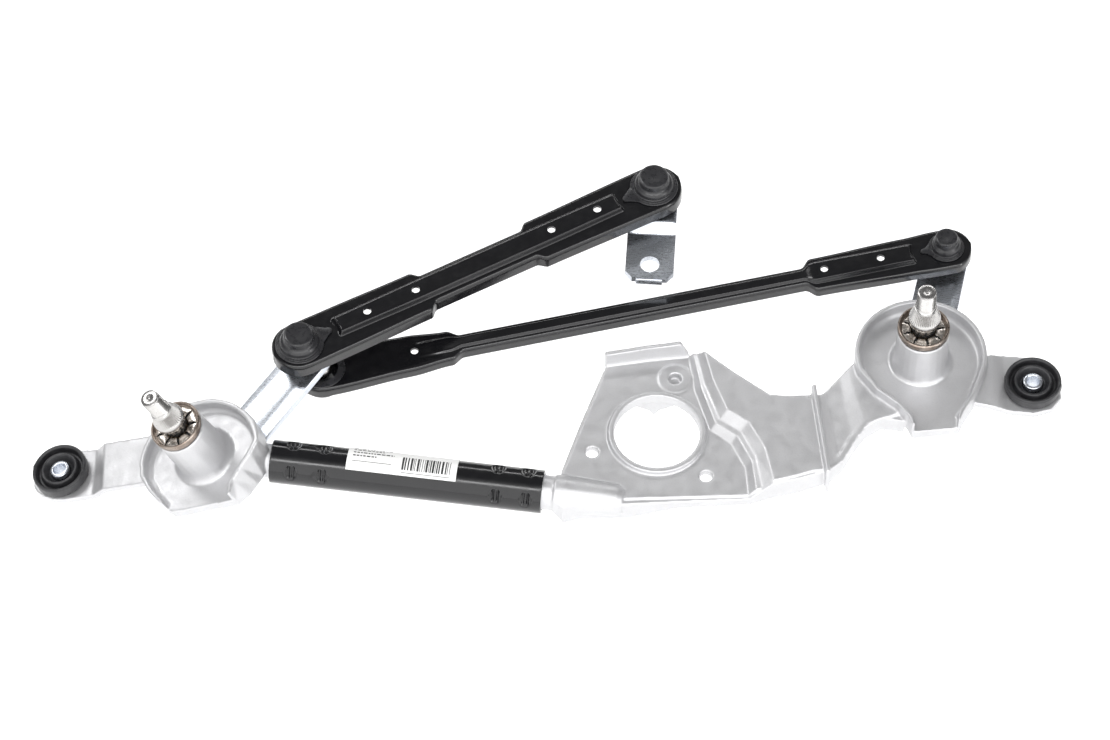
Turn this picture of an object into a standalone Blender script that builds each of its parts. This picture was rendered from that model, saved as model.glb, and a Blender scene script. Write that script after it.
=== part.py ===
"""Windshield wiper linkage: pivot castings on a cross tube, spindles with levers, two links and a crank.

Lengths are written in millimetres, and MM scales them to metres as a mesh or a location is made. The
origin is the centre of the right spindle's end face, +Z runs out along that spindle, and +X runs from left
to right.
"""

import math

import bmesh
import bpy
from mathutils import Matrix, Vector

MM = 0.001
GAP = 0.3
STEPS = 24

# Pivots, measured along each spindle from its end face.
TIP_TO_RING = 30.0
RING_TO_FLOOR_RIGHT = 31.0
RING_TO_FLOOR_LEFT = 37.0
FLOOR_TO_LEVER = 14.0
LEVER_LENGTH = 75.0
LEVER_HALF_WIDTH = 11.9
LEVER_THICKNESS = 4.0
SHAFT_RADIUS = 6.0
CONE_RADIUS = 8.1
BORE_RADIUS = 8.3
BOSS_TOP_RADIUS = 13.4

# The left pivot's dish floor and the lean of its spindle.
LEFT_FLOOR = Vector((-367.0, -52.0, -72.0))
LEFT_LEAN = math.radians(22.2)
LEFT_LEAN_HEADING = math.radians(194.9)
LEFT_LEVER_ANGLE = math.radians(46.8)
LEFT_LEVER_BACK_TRAVEL = math.radians(5.0)
RIGHT_LEVER_ANGLE = math.radians(77.3)

# Ball joints.
BALL_RADIUS = 6.0
SMALL_BALL_RADIUS = 4.0
OPEN_BALL_RADIUS = 5.0
OPEN_CAVITY_RADIUS = 8.7
LEFT_BALL_REACH = 14.0
RIGHT_BALL_REACH = 12.0
NECK_RADIUS = 3.4

# Links and crank.
WEB_THICKNESS = 1.6
CRANK_BALL = Vector((-136.5, 96.3, -41.0))
CRANK_RADIUS = 39.0
CRANK_THICKNESS = 3.5
CRANK_REACH = 11.0
CRANK_DROP = 5.0
CRANK_HOLE_RADIUS = 5.0

# Cross tube.
TUBE_RADIUS = 11.1
TUBE_BORE = 9.4
TUBE_LEFT = Vector((-332.9, -52.7, -75.0))
TUBE_RIGHT = Vector((-194.3, -71.7, -75.0))
SPIGOT_RADIUS = 9.0
SPIGOT_DEPTH = 28.0
NECK_OUTER_RADIUS = 8.8

# Dishes.
DISH_RADIUS = 34.0
DISH_WALL = 2.6
DISH_FLOOR_THICKNESS = 3.0
RIM_ABOVE_FLOOR = 7.5
SKIRT_BELOW_FLOOR = 6.0

# Motor plate.
PLATE_TOP = -70.0
PLATE_THICKNESS = 4.0
MOTOR_HOLE = (-136.0, -39.5)
MOTOR_HOLE_RADIUS = 22.2
COLLAR_RADIUS = 25.2
MOTOR_BOLTS = ((-169.3, -50.5), (-111.3, -65.3), (-126.3, -5.0))
BOLT_HOLE_RADIUS = 3.3

# Grommets.
RIGHT_GROMMET = (57.0, -15.0, -65.0)
LEFT_GROMMET = (-82.0, 6.0, -70.5)
LEFT_GROMMET_AXIS = Vector((0.11, 0.10, 0.989))
LUG_THICKNESS = 3.6
GROMMET_RADIUS = 14.6
LUG_HOLE_RADIUS = 10.2


def clear_scene():
    for item in list(bpy.data.objects):
        bpy.data.objects.remove(item, do_unlink=True)


def make_collection(name):
    made = bpy.data.collections.new(name)
    bpy.context.scene.collection.children.link(made)
    return made


def make_material(name, colour, roughness, metallic):
    made = bpy.data.materials.new(name)
    made.use_nodes = True
    shader = made.node_tree.nodes["Principled BSDF"]
    shader.inputs["Base Color"].default_value = (*colour, 1.0)
    shader.inputs["Roughness"].default_value = roughness
    shader.inputs["Metallic"].default_value = metallic
    return made


def add_object(name, mesh, look=None, frame=None):
    """A visible sub-part when it has a look, or a hidden helper when it has none."""
    made = bpy.data.objects.new(name, mesh)
    if look is None:
        HELPERS.objects.link(made)
        made.hide_render = True
        made.display_type = "WIRE"
    else:
        PARTS.objects.link(made)
        mesh.materials.append(look)
    made.parent = frame
    return made


def add_frame(name, place, matrix=None, parent=None):
    """An empty that other objects are placed by, with its axes given by a rotation matrix."""
    made = bpy.data.objects.new(name, None)
    PARTS.objects.link(made)
    made.empty_display_size = 0.01
    made.parent = parent
    made.matrix_local = Matrix.Translation(Vector(place) * MM) @ (matrix or Matrix()).to_4x4()
    return made


def axes_matrix(x_axis, z_axis):
    """A rotation whose z is z_axis and whose x is as near to x_axis as it can be."""
    z = z_axis.normalized()
    x = (x_axis - z * x_axis.dot(z)).normalized()
    return Matrix((x, z.cross(x), z)).transposed()


def link_axes(along):
    """A rotation whose x is along the link and whose z is as near to +Z as it can be."""
    x = along.normalized()
    z = (Vector((0.0, 0.0, 1.0)) - x * x.z).normalized()
    return Matrix((x, z.cross(x), z)).transposed()


def smooth(mesh, angle=35.0):
    mesh.shade_smooth()
    mesh.set_sharp_from_angle(angle=math.radians(angle))


def turned(name, profile, look=None, frame=None, closed=False, steps=STEPS):
    """A profile of (radius, height) points, running down its outer side, turned about the frame's z axis."""
    mesh = bpy.data.meshes.new(name)
    edges = [(i, i + 1) for i in range(len(profile) - 1)]
    if closed:
        edges.append((len(profile) - 1, 0))
    mesh.from_pydata([(r * MM, 0.0, z * MM) for r, z in profile], edges, [])
    made = add_object(name, mesh, look, frame)
    screw = made.modifiers.new("turn", "SCREW")
    screw.steps = steps
    screw.render_steps = steps
    screw.use_merge_vertices = True
    screw.merge_threshold = 0.000001
    screw.use_smooth_shade = True
    return made


def ring(name, outer, inner, top, bottom, look=None, frame=None, steps=STEPS):
    profile = [(outer, top), (outer, bottom), (inner, bottom), (inner, top)]
    return turned(name, profile, look, frame, closed=True, steps=steps)


def rod(name, radius, top, bottom, frame=None, look=None, steps=STEPS):
    profile = [(0.0, top), (radius, top), (radius, bottom), (0.0, bottom)]
    return turned(name, profile, look, frame, steps=steps)


def circle(centre, radius, count=STEPS):
    turns = [2.0 * math.pi * i / count for i in range(count)]
    return [(centre[0] + radius * math.cos(t), centre[1] + radius * math.sin(t)) for t in turns]


def arc(centre, radius, start, end, count):
    """Points on an arc between two angles in degrees."""
    angles = [math.radians(start + (end - start) * i / (count - 1)) for i in range(count)]
    return [(centre[0] + radius * math.cos(a), centre[1] + radius * math.sin(a)) for a in angles]


def prism(name, outline, top, bottom, look=None, frame=None, holes=()):
    """A flat outline between two heights, as a filled 2D curve turned into a welded mesh."""
    curve = bpy.data.curves.new(name, "CURVE")
    curve.dimensions = "2D"
    curve.fill_mode = "BOTH"
    curve.extrude = 0.5 * (top - bottom) * MM
    for loop in (outline, *holes):
        spline = curve.splines.new("POLY")
        spline.points.add(len(loop) - 1)
        for point, (x, y) in zip(spline.points, loop):
            point.co = (x * MM, y * MM, 0.0, 1.0)
        spline.use_cyclic_u = True
    drawn = bpy.data.objects.new(name + "_curve", curve)
    HELPERS.objects.link(drawn)
    graph = bpy.context.evaluated_depsgraph_get()
    mesh = bpy.data.meshes.new_from_object(drawn.evaluated_get(graph))
    bpy.data.objects.remove(drawn)
    mesh.name = name
    mesh.materials.clear()
    solid = bmesh.new()
    solid.from_mesh(mesh)
    bmesh.ops.remove_doubles(solid, verts=solid.verts, dist=1e-6)
    bmesh.ops.recalc_face_normals(solid, faces=solid.faces)
    bmesh.ops.translate(solid, verts=solid.verts, vec=(0.0, 0.0, 0.5 * (top + bottom) * MM))
    solid.to_mesh(mesh)
    solid.free()
    return add_object(name, mesh, look, frame)


def sheet(name, rails, thickness, look=None, frame=None):
    """An open surface through rails of (x, y, z) points, thickened on the side away from its normals."""
    mesh = bpy.data.meshes.new(name)
    across = len(rails[0])
    points = [Vector(point) * MM for rail in rails for point in rail]
    faces = []
    for i in range(len(rails) - 1):
        for j in range(across - 1):
            a = i * across + j
            faces.append((a, a + 1, a + 1 + across, a + across))
    mesh.from_pydata(points, [], faces)
    surface = bmesh.new()
    surface.from_mesh(mesh)
    bmesh.ops.remove_doubles(surface, verts=surface.verts, dist=1e-6)
    surface.to_mesh(mesh)
    surface.free()
    made = add_object(name, mesh, look, frame)
    shell = made.modifiers.new("thickness", "SOLIDIFY")
    shell.thickness = thickness * MM
    shell.offset = -1.0
    shell.use_even_offset = True
    return made


def block(name, low, high, frame=None):
    """A hidden box between two corners."""
    mesh = bpy.data.meshes.new(name)
    solid = bmesh.new()
    size = (Vector(high) - Vector(low)) * MM
    middle = (Vector(high) + Vector(low)) * 0.5 * MM
    bmesh.ops.create_cube(solid, size=1.0, matrix=Matrix.Translation(middle) @ Matrix.Diagonal((*size, 1.0)))
    solid.to_mesh(mesh)
    solid.free()
    return add_object(name, mesh, None, frame)


def combine(target, others, operation, solver="EXACT"):
    for other in others:
        change = target.modifiers.new(other.name, "BOOLEAN")
        change.operation = operation
        change.object = other
        change.solver = solver


def union(target, *others):
    combine(target, others, "UNION")


def cut(target, *others):
    combine(target, others, "DIFFERENCE")


def ball_arc(radius, stop_radius, upward=True, count=7):
    """Profile points from a ball's pole to where its side has narrowed to stop_radius."""
    last = math.pi - math.asin(stop_radius / radius)
    angles = [last * i / (count - 1) for i in range(count)]
    arc_points = [(radius * math.sin(a), radius * math.cos(a)) for a in angles]
    arc_points[0] = (0.0, radius)
    return arc_points if upward else [(r, -z) for r, z in reversed(arc_points)]


def single_stud(name, ball_radius, reach, look, frame):
    """A ball stud riveted through a plate whose middle plane is the frame's z = 0."""
    plate = 0.5 * LEVER_THICKNESS + GAP
    profile = [(r, z + reach) for r, z in ball_arc(ball_radius, min(NECK_RADIUS, 0.8 * ball_radius))]
    neck = profile[-1][0]
    profile += [(neck, plate + 2.2), (6.4, plate + 2.0), (6.4, plate), (4.0, plate)]
    profile += [(4.0, -plate), (5.8, -plate), (4.8, -plate - 1.5), (0.0, -plate - 1.7)]
    return turned(name, profile, look, frame, steps=16)


def double_stud(name, look, frame):
    """A stud with a ball on each side of the left lever, for the short link above and the long link below."""
    plate = 0.5 * LEVER_THICKNESS + GAP
    profile = [(r, z + LEFT_BALL_REACH) for r, z in ball_arc(BALL_RADIUS, NECK_RADIUS)]
    profile += [(NECK_RADIUS, plate + 2.2), (6.4, plate + 2.0), (6.4, plate), (4.0, plate)]
    profile += [(4.0, -plate), (6.0, -plate), (6.0, -plate - 1.8), (NECK_RADIUS, -plate - 2.0)]
    profile += [(r, z - LEFT_BALL_REACH) for r, z in ball_arc(OPEN_BALL_RADIUS, NECK_RADIUS, upward=False)]
    return turned(name, profile, look, frame, steps=16)


def socket(name, scale, cavity, look, frame, tab_direction):
    """A capped plastic socket clipped through a link's web, whose middle plane is the frame's z = 0."""
    flange = 0.5 * WEB_THICKNESS + GAP
    body = 10.7 * scale
    outside = [(0.0, 10.8), (7.0 * scale, 10.8), (7.8 * scale, 10.0), (7.8 * scale, 5.6), (10.0 * scale, 4.0)]
    outside += [(10.0 * scale, flange + 1.2), (12.6 * scale, flange + 1.0), (12.6 * scale, flange)]
    outside += [(body, flange), (body, -flange), (11.5 * scale, -flange), (11.5 * scale, -flange - 1.2)]
    outside += [(10.6 * scale, -5.5)]
    mouth = cavity + 2.0
    inside = [(mouth, -5.5), (cavity, -1.0)]
    inside += [(r, z) for r, z in reversed(ball_arc(cavity, cavity, count=5))]
    made = turned(name, outside + inside, look, frame)
    if tab_direction:
        width = 4.2 * scale
        reach = 18.0 * scale
        low, high = sorted((tab_direction * 11.0 * scale, tab_direction * reach))
        tip = arc((tab_direction * (reach - width), 0.0), width, -90.0, 90.0, 5)
        if tab_direction < 0:
            tip = arc((tab_direction * (reach - width), 0.0), width, 90.0, 270.0, 5)
        root = 8.5 * scale * tab_direction
        outline = tip + [(root, 0.0)]
        tab = prism(name + "_tab", outline, flange + 0.9, flange, None, frame)
        union(made, tab)
    return made


def open_socket(name, look, frame):
    """The long link's left socket, capped below, with room for the ball to wander in its cavity."""
    flange = 0.5 * WEB_THICKNESS + GAP
    outside = [(OPEN_CAVITY_RADIUS, flange + 1.0), (12.4, flange + 1.0), (12.4, flange), (10.7, flange)]
    outside += [(10.7, -flange), (11.1, -flange), (11.1, -flange - 1.2), (10.9, -4.0), (10.9, -9.6)]
    outside += [(9.6, -11.2), (0.0, -11.2)]
    inside = [(0.0, -9.6), (6.0, -8.6), (OPEN_CAVITY_RADIUS, -5.4)]
    return turned(name, outside + inside + [outside[0]], look, frame)


def link_section(x, half_width, flange, rib_half, rib_height):
    """One cross-section of a stamped channel, from one flange's lower edge over the web to the other's."""
    top = 0.5 * WEB_THICKNESS
    bend = min(2.0, half_width)
    rib_foot = min(rib_half + 1.6, half_width - bend)
    rib_crest = min(rib_half, rib_foot)
    side = [(half_width, -flange), (half_width, top - bend), (half_width - bend, top)]
    side += [(rib_foot, top), (rib_crest, top + rib_height)]
    return [(x, -y, z) for y, z in side] + [(x, y, z) for y, z in reversed(side)]


def stamped_link(name, stations, length, end_radius, flange, look, frame):
    """A pressed channel with round ends through (x, half width, flange, rib half, rib height) stations."""
    sections = []
    for turn in (0.0, 18.0, 36.0, 54.0, 72.0):
        angle = math.radians(turn)
        x = -end_radius * math.cos(angle)
        sections.append(link_section(x, end_radius * math.sin(angle), flange, 4.0, 0.0))
    sections += [link_section(*station) for station in stations]
    for turn in (72.0, 54.0, 36.0, 18.0, 0.0):
        angle = math.radians(turn)
        x = length + end_radius * math.cos(angle)
        sections.append(link_section(x, end_radius * math.sin(angle), flange, 4.0, 0.0))
    made = sheet(name, list(reversed(sections)), WEB_THICKNESS, look, frame)
    smooth(made.data, 40.0)
    return made


def punch(target, frame, places, radius, steps=12):
    """Round holes through a link's web at distances along it."""
    for number, x in enumerate(places):
        hole = rod(f"{target.name}_hole_{number}", radius, 8.0, -9.0, frame, steps=steps)
        hole.location.x = x * MM
        cut(target, hole)


def lever(name, frame, look):
    """A plate with round ends from the spindle at x = 0 to the ball stud, its middle plane at z = 0."""
    outline = arc((0.0, 0.0), LEVER_HALF_WIDTH + 0.6, 90.0, 270.0, 13)
    outline += arc((LEVER_LENGTH, 0.0), LEVER_HALF_WIDTH, -90.0, 90.0, 13)
    holes = [circle((0.0, 0.0), 5.0 + GAP, 20), circle((LEVER_LENGTH, 0.0), 4.0 + GAP, 20)]
    half = 0.5 * LEVER_THICKNESS
    made = prism(name, outline, half, -half, look, frame, holes)
    smooth(made.data)
    return made


def spindle(name, ring_to_floor, frame, look):
    """Threaded end, knurled cone, shaft and the riveted head below the lever."""
    lever_middle = -(TIP_TO_RING + ring_to_floor + FLOOR_TO_LEVER)
    shoulder = lever_middle + 0.5 * LEVER_THICKNESS + GAP
    head = lever_middle - 0.5 * LEVER_THICKNESS - GAP
    profile = [(0.0, 0.0), (3.9, 0.0), (5.0, -1.1), (5.0, -12.8), (5.5, -13.2), (CONE_RADIUS, -21.6)]
    profile += [(CONE_RADIUS, -25.0), (SHAFT_RADIUS, -26.0), (SHAFT_RADIUS, shoulder), (5.0, shoulder)]
    profile += [(5.0, head), (7.0, head), (6.0, head - 1.8), (0.0, head - 2.0)]
    return turned(name, profile, look, frame)


def lock_ring(name, frame, look):
    """A toothed ring pressed on the spindle, cupped over the boss."""
    top = -TIP_TO_RING
    profile = [(13.0, top), (13.4, top - 0.4), (13.4, top - 3.4), (11.7, top - 3.4), (11.7, top - 2.6)]
    profile += [(SHAFT_RADIUS + GAP, top - 2.2), (SHAFT_RADIUS + GAP, top - 1.2), (11.7, top - 1.6)]
    profile += [(11.9, top)]
    made = turned(name, profile, look, frame, closed=True)
    for number in range(4):
        slot = block(f"{name}_slot_{number}", (-9.6, -0.9, top - 4.0), (9.6, 0.9, top + 0.5), frame)
        slot.rotation_euler.z = math.pi * number / 4.0
        cut(made, slot)
    return made


def pivot_pieces(side, ring_to_floor, frame, lever_frame):
    """Everything that one spindle is made of and turns in, apart from the casting."""
    lever_top = -(TIP_TO_RING + ring_to_floor + FLOOR_TO_LEVER) + 0.5 * LEVER_THICKNESS
    boss_top = -TIP_TO_RING - 5.0
    boss_bottom = lever_top + 2.1
    inner = SHAFT_RADIUS + GAP
    outer = BORE_RADIUS - GAP
    spindle(f"{side}_spindle", ring_to_floor, frame, STEEL)
    lock_ring(f"{side}_lock_ring", frame, RING_STEEL)
    ring(f"{side}_seal_ring", 12.8, 9.0, boss_top + 1.1, boss_top + GAP, RUBBER, frame)
    ring(f"{side}_upper_bush", outer, inner, boss_top - 0.5, boss_top - 12.5, BRONZE, frame, steps=20)
    ring(f"{side}_lower_bush", outer, inner, boss_bottom + 12.5, boss_bottom + 0.5, BRONZE, frame, steps=20)
    ring(f"{side}_thrust_washer", 10.5, inner, lever_top + 1.8, lever_top + GAP, RING_STEEL, frame, steps=20)
    lever(f"{side}_lever", lever_frame, ZINC)


def casting_boss(name, ring_to_floor, frame):
    """The tapered boss above the dish floor and the short one below it, with a fillet at its foot."""
    floor = -(TIP_TO_RING + ring_to_floor)
    bottom = floor - FLOOR_TO_LEVER + 0.5 * LEVER_THICKNESS + 2.1
    profile = [(0.0, -TIP_TO_RING - 5.0), (BOSS_TOP_RADIUS, -TIP_TO_RING - 5.0), (13.9, floor + 4.5)]
    profile += [(14.7, floor + 2.0), (16.8, floor - 0.5), (16.8, floor - 2.0), (12.6, floor - 4.0)]
    profile += [(12.0, bottom), (0.0, bottom)]
    return turned(name, profile, None, frame)


def casting_dish(name, outline, hollow, ring_to_floor, frame):
    """Adds a drain dish to a casting: a walled pan above the floor, and a skirt around a hollow below it."""
    floor = -(TIP_TO_RING + ring_to_floor)
    pan = prism(name, outline, floor + RIM_ABOVE_FLOOR, floor - SKIRT_BELOW_FLOOR, None, frame)
    above = prism(name + "_above", hollow, floor + 12.0, floor, None, frame)
    below_top = floor - DISH_FLOOR_THICKNESS
    under = prism(name + "_under", inset_circle_outline(outline), below_top, floor - 12.0, None, frame)
    cut(pan, above, under)
    return pan


def inset_circle_outline(outline):
    """The outline drawn in towards its middle by the dish's wall."""
    centre = Vector((sum(x for x, _ in outline), sum(y for _, y in outline))) / len(outline)
    drawn = []
    for point in outline:
        offset = Vector(point) - centre
        drawn.append(tuple(centre + offset * (1.0 - (DISH_WALL + 0.4) / offset.length)))
    return drawn


def grommet(name, frame, look):
    """A rubber bush gripping the lug, which is at the frame's z = 0, with a groove in its upper face."""
    top = 0.5 * LUG_THICKNESS + 7.0
    under = -0.5 * LUG_THICKNESS - 4.4
    grip = 0.5 * LUG_THICKNESS + GAP
    inner = 4.9 + GAP
    neck = LUG_HOLE_RADIUS - GAP
    profile = [(12.6, top), (GROMMET_RADIUS, top - 1.8), (GROMMET_RADIUS, grip + 1.2), (13.8, grip)]
    profile += [(neck, grip), (neck, -grip), (13.0, -grip), (13.4, -grip - 1.5), (12.2, under)]
    profile += [(inner, under), (inner, top - 2.0), (5.6, top - 1.0), (7.9, top - 1.0), (8.0, top - 4.0)]
    profile += [(9.4, top - 4.0), (9.6, top)]
    return turned(name, profile, look, frame, closed=True)


def grommet_sleeve(name, frame, look):
    """The steel sleeve that the mounting bolt clamps."""
    top = 0.5 * LUG_THICKNESS + 5.8
    bottom = -0.5 * LUG_THICKNESS - 4.8
    return ring(name, 4.9, 3.4, top, bottom, look, frame, steps=24)


def wall(name, rim, thickness, frame=None):
    """A standing wall along (x, y, top, bottom) points, as a sheet between its two edges."""
    upper = [(x, y, top) for x, y, top, _ in rim]
    lower = [(x, y, bottom) for x, y, _, bottom in rim]
    made = sheet(name, [lower, upper], thickness, None, frame)
    made.modifiers["thickness"].offset = 0.0
    return made


def spigot(name, end, inward, frame_name):
    """A casting's round neck and the stub that the tube is crimped on, drawn along the tube."""
    along = (TUBE_RIGHT - TUBE_LEFT).normalized() * inward
    frame = add_frame(frame_name, end, axes_matrix(Vector((0.0, 0.0, 1.0)), along))
    profile = [(0.0, SPIGOT_DEPTH), (SPIGOT_RADIUS - 1.0, SPIGOT_DEPTH), (SPIGOT_RADIUS, SPIGOT_DEPTH - 1.5)]
    profile += [(SPIGOT_RADIUS, -GAP), (NECK_OUTER_RADIUS, -1.2), (NECK_OUTER_RADIUS, -6.5), (9.8, -9.0)]
    return turned(name, profile + [(9.8, -12.0), (0.0, -12.0)], None, frame), frame


def left_dish_outline(grow):
    """The rim of the left dish, from its right side round the back to its front edge."""
    points = arc((-0.5, -4.0), 33.6 + grow, 7.0, 173.0, 24)
    points += [(-33.4 - grow, -8.0), (-28.5 - grow, -17.5), (-22.5 - grow, -25.0), (-17.5 - grow, -29.0)]
    return points + [(17.6 + grow, -28.6), (19.3 + grow, -21.5), (23.6 + grow, -14.4), (29.2 + grow, -7.0)]


def left_lug_point(x, y):
    """A point on the top of the left lug's pad, which is square to the grommet's axis."""
    across = Vector((x - LEFT_GROMMET[0], y - LEFT_GROMMET[1]))
    slope = Vector(LEFT_GROMMET_AXIS[:2]) / LEFT_GROMMET_AXIS.z
    return (x, y, LEFT_GROMMET[2] + 0.5 * LUG_THICKNESS - across.dot(slope))


def left_pivot_housing(frame, mount_frame):
    """The left casting: dish, boss, flared side, spigot and the joggled lug."""
    floor = -(TIP_TO_RING + RING_TO_FLOOR_LEFT)
    hollow = left_dish_outline(-DISH_WALL)
    front = [i for i, (_, y) in enumerate(hollow) if y < -27.0]
    for i in front:
        hollow[i] = (hollow[i][0], -45.0)
    casting = casting_dish("left_pivot_housing", left_dish_outline(0.0), hollow, RING_TO_FLOOR_LEFT, frame)
    HELPERS.objects.unlink(casting)
    PARTS.objects.link(casting)
    casting.hide_render = False
    casting.display_type = "TEXTURED"
    casting.data.materials.append(CAST)
    union(casting, casting_boss("left_boss", RING_TO_FLOOR_LEFT, frame))
    stub, _ = spigot("left_spigot", TUBE_LEFT, 1.0, "left_spigot_frame")
    rim = floor + RIM_ABOVE_FLOOR - 0.4
    upper = [(17.4, -28.2, floor + 2.0), (19.4, -21.0, rim), (23.4, -14.6, rim), (29.0, -7.0, rim)]
    upper += [(32.6, -1.0, rim), (32.8, 5.0, rim), (30.2, 12.6, rim), (25.0, 19.0, rim)]
    lower = [(18.0, -28.2, -72.5), (23.0, -23.5, -74.0), (26.5, -17.0, -76.0), (28.5, -11.5, -78.5)]
    lower += [(29.5, -5.0, -79.5), (29.5, 3.0, -79.5), (28.5, 10.0, -77.5), (25.5, 17.0, -73.0)]
    flare = sheet("left_flare", [lower, upper], 3.0, None, frame)
    band = floor + 0.2
    outline = ((-97.6, 7.5, 1.5), (-95.4, 13.0, -2.4), (-91.0, 17.6, -6.0), (-86.0, 19.8, -8.6))
    outline += ((-79.0, 20.5, -9.9), (-64.5, 19.5, -9.2))
    lug_rails = [[left_lug_point(x, rear), left_lug_point(x, front)] for x, rear, front in outline]
    lug_rails += [[(-58.0, 19.2, band), (-58.0, -8.4, band)], [(-29.0, 18.4, band), (-29.0, -9.5, band)]]
    lug = sheet("left_lug", lug_rails, LUG_THICKNESS, None, frame)
    union(casting, stub, lug, flare)
    bore = rod("left_bore", BORE_RADIUS, -20.0, -110.0, frame)
    lug_hole = rod("left_lug_hole", LUG_HOLE_RADIUS, 12.0, -12.0, mount_frame)
    cut(casting, bore, lug_hole, lever_relief(frame))
    return casting


def lever_relief(frame):
    """The space that the left lever swings through beside the spigot."""
    angle = LEFT_LEVER_ANGLE - LEFT_LEVER_BACK_TRAVEL
    side = LEVER_HALF_WIDTH + 1.4
    middle = -(TIP_TO_RING + RING_TO_FLOOR_LEFT + FLOOR_TO_LEVER)
    half = 0.5 * LEVER_THICKNESS + 0.6
    edge = (side * math.sin(angle), -side * math.cos(angle))
    far = (edge[0] + 60.0 * math.cos(angle), edge[1] + 60.0 * math.sin(angle))
    outline = arc((0.0, 0.0), side, 90.0, math.degrees(angle) + 270.0, 16) + [far, (20.0, 60.0), (0.0, 60.0)]
    return prism("left_lever_relief", outline, middle + half, middle - half, None, frame)


def motor_plate_rails():
    """Rails across the motor plate and arm, rear to front, with a two-step rise between them."""
    rails = [
        (-70.0, ((-162, 3), (-167, -13), (-174, -32), (-180, -50), (-185, -64), (-184, -80))),
        (-70.0, ((-119, 9), (-116, -13), (-109, -37), (-98, -46), (-91, -61), (-90, -77))),
        (-66.4, ((-117, 9), (-113, -13), (-106, -35), (-95, -43), (-88, -58), (-86, -76))),
        (-66.0, ((-115, 8), (-111, -12), (-104, -33), (-93, -41), (-86, -56), (-83, -75))),
        (-62.0, ((-111, 7), (-107, -10), (-100, -29), (-89, -37), (-81, -53), (-77, -73))),
        (-62.0, ((-96, -6), (-92, -18), (-86, -30), (-79, -41), (-70, -55), (-66, -70))),
        (-62.0, ((-78, -20), (-75, -29), (-71, -38), (-66, -48), (-60, -58), (-57, -67))),
        (-62.2, ((-54, -22), (-53, -31), (-52, -40), (-51, -49), (-50, -57), (-49, -66))),
        (-63.6, ((-49, -17), (-48, -26), (-47, -35), (-46, -44), (-45, -52), (-43, -60))),
        (-62.5, ((-42, -9), (-41, -17), (-40, -25), (-39, -33), (-38, -40), (-37, -47))),
        (-60.6, ((-37, -4), (-36, -12), (-34.5, -19.5), (-32.5, -26.5), (-31, -32), (-30, -39.5))),
        (-59.5, ((-32.5, 0), (-31, -8.5), (-28.5, -13), (-24.5, -18.5), (-18.5, -25.5), (-10.8, -33.2))),
    ]
    return [[(x, y, z) for x, y in points] for z, points in rails]


def right_dish_outline(grow):
    """The drop-shaped rim of the right dish, from the mouth's right corner round the back to its left."""
    radius = DISH_RADIUS + grow
    points = [(18.0 + grow, -42.0), (20.5 + grow, -36.0), (26.5 + grow, -26.0)]
    points += arc((0.0, 0.0), radius, -18.0, 198.0, 28)
    return points + [(-24.0 - grow, -22.5), (-13.5 - grow, -31.5), (-8.0 - grow, -39.0), (-6.0 - grow, -44.5)]


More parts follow.
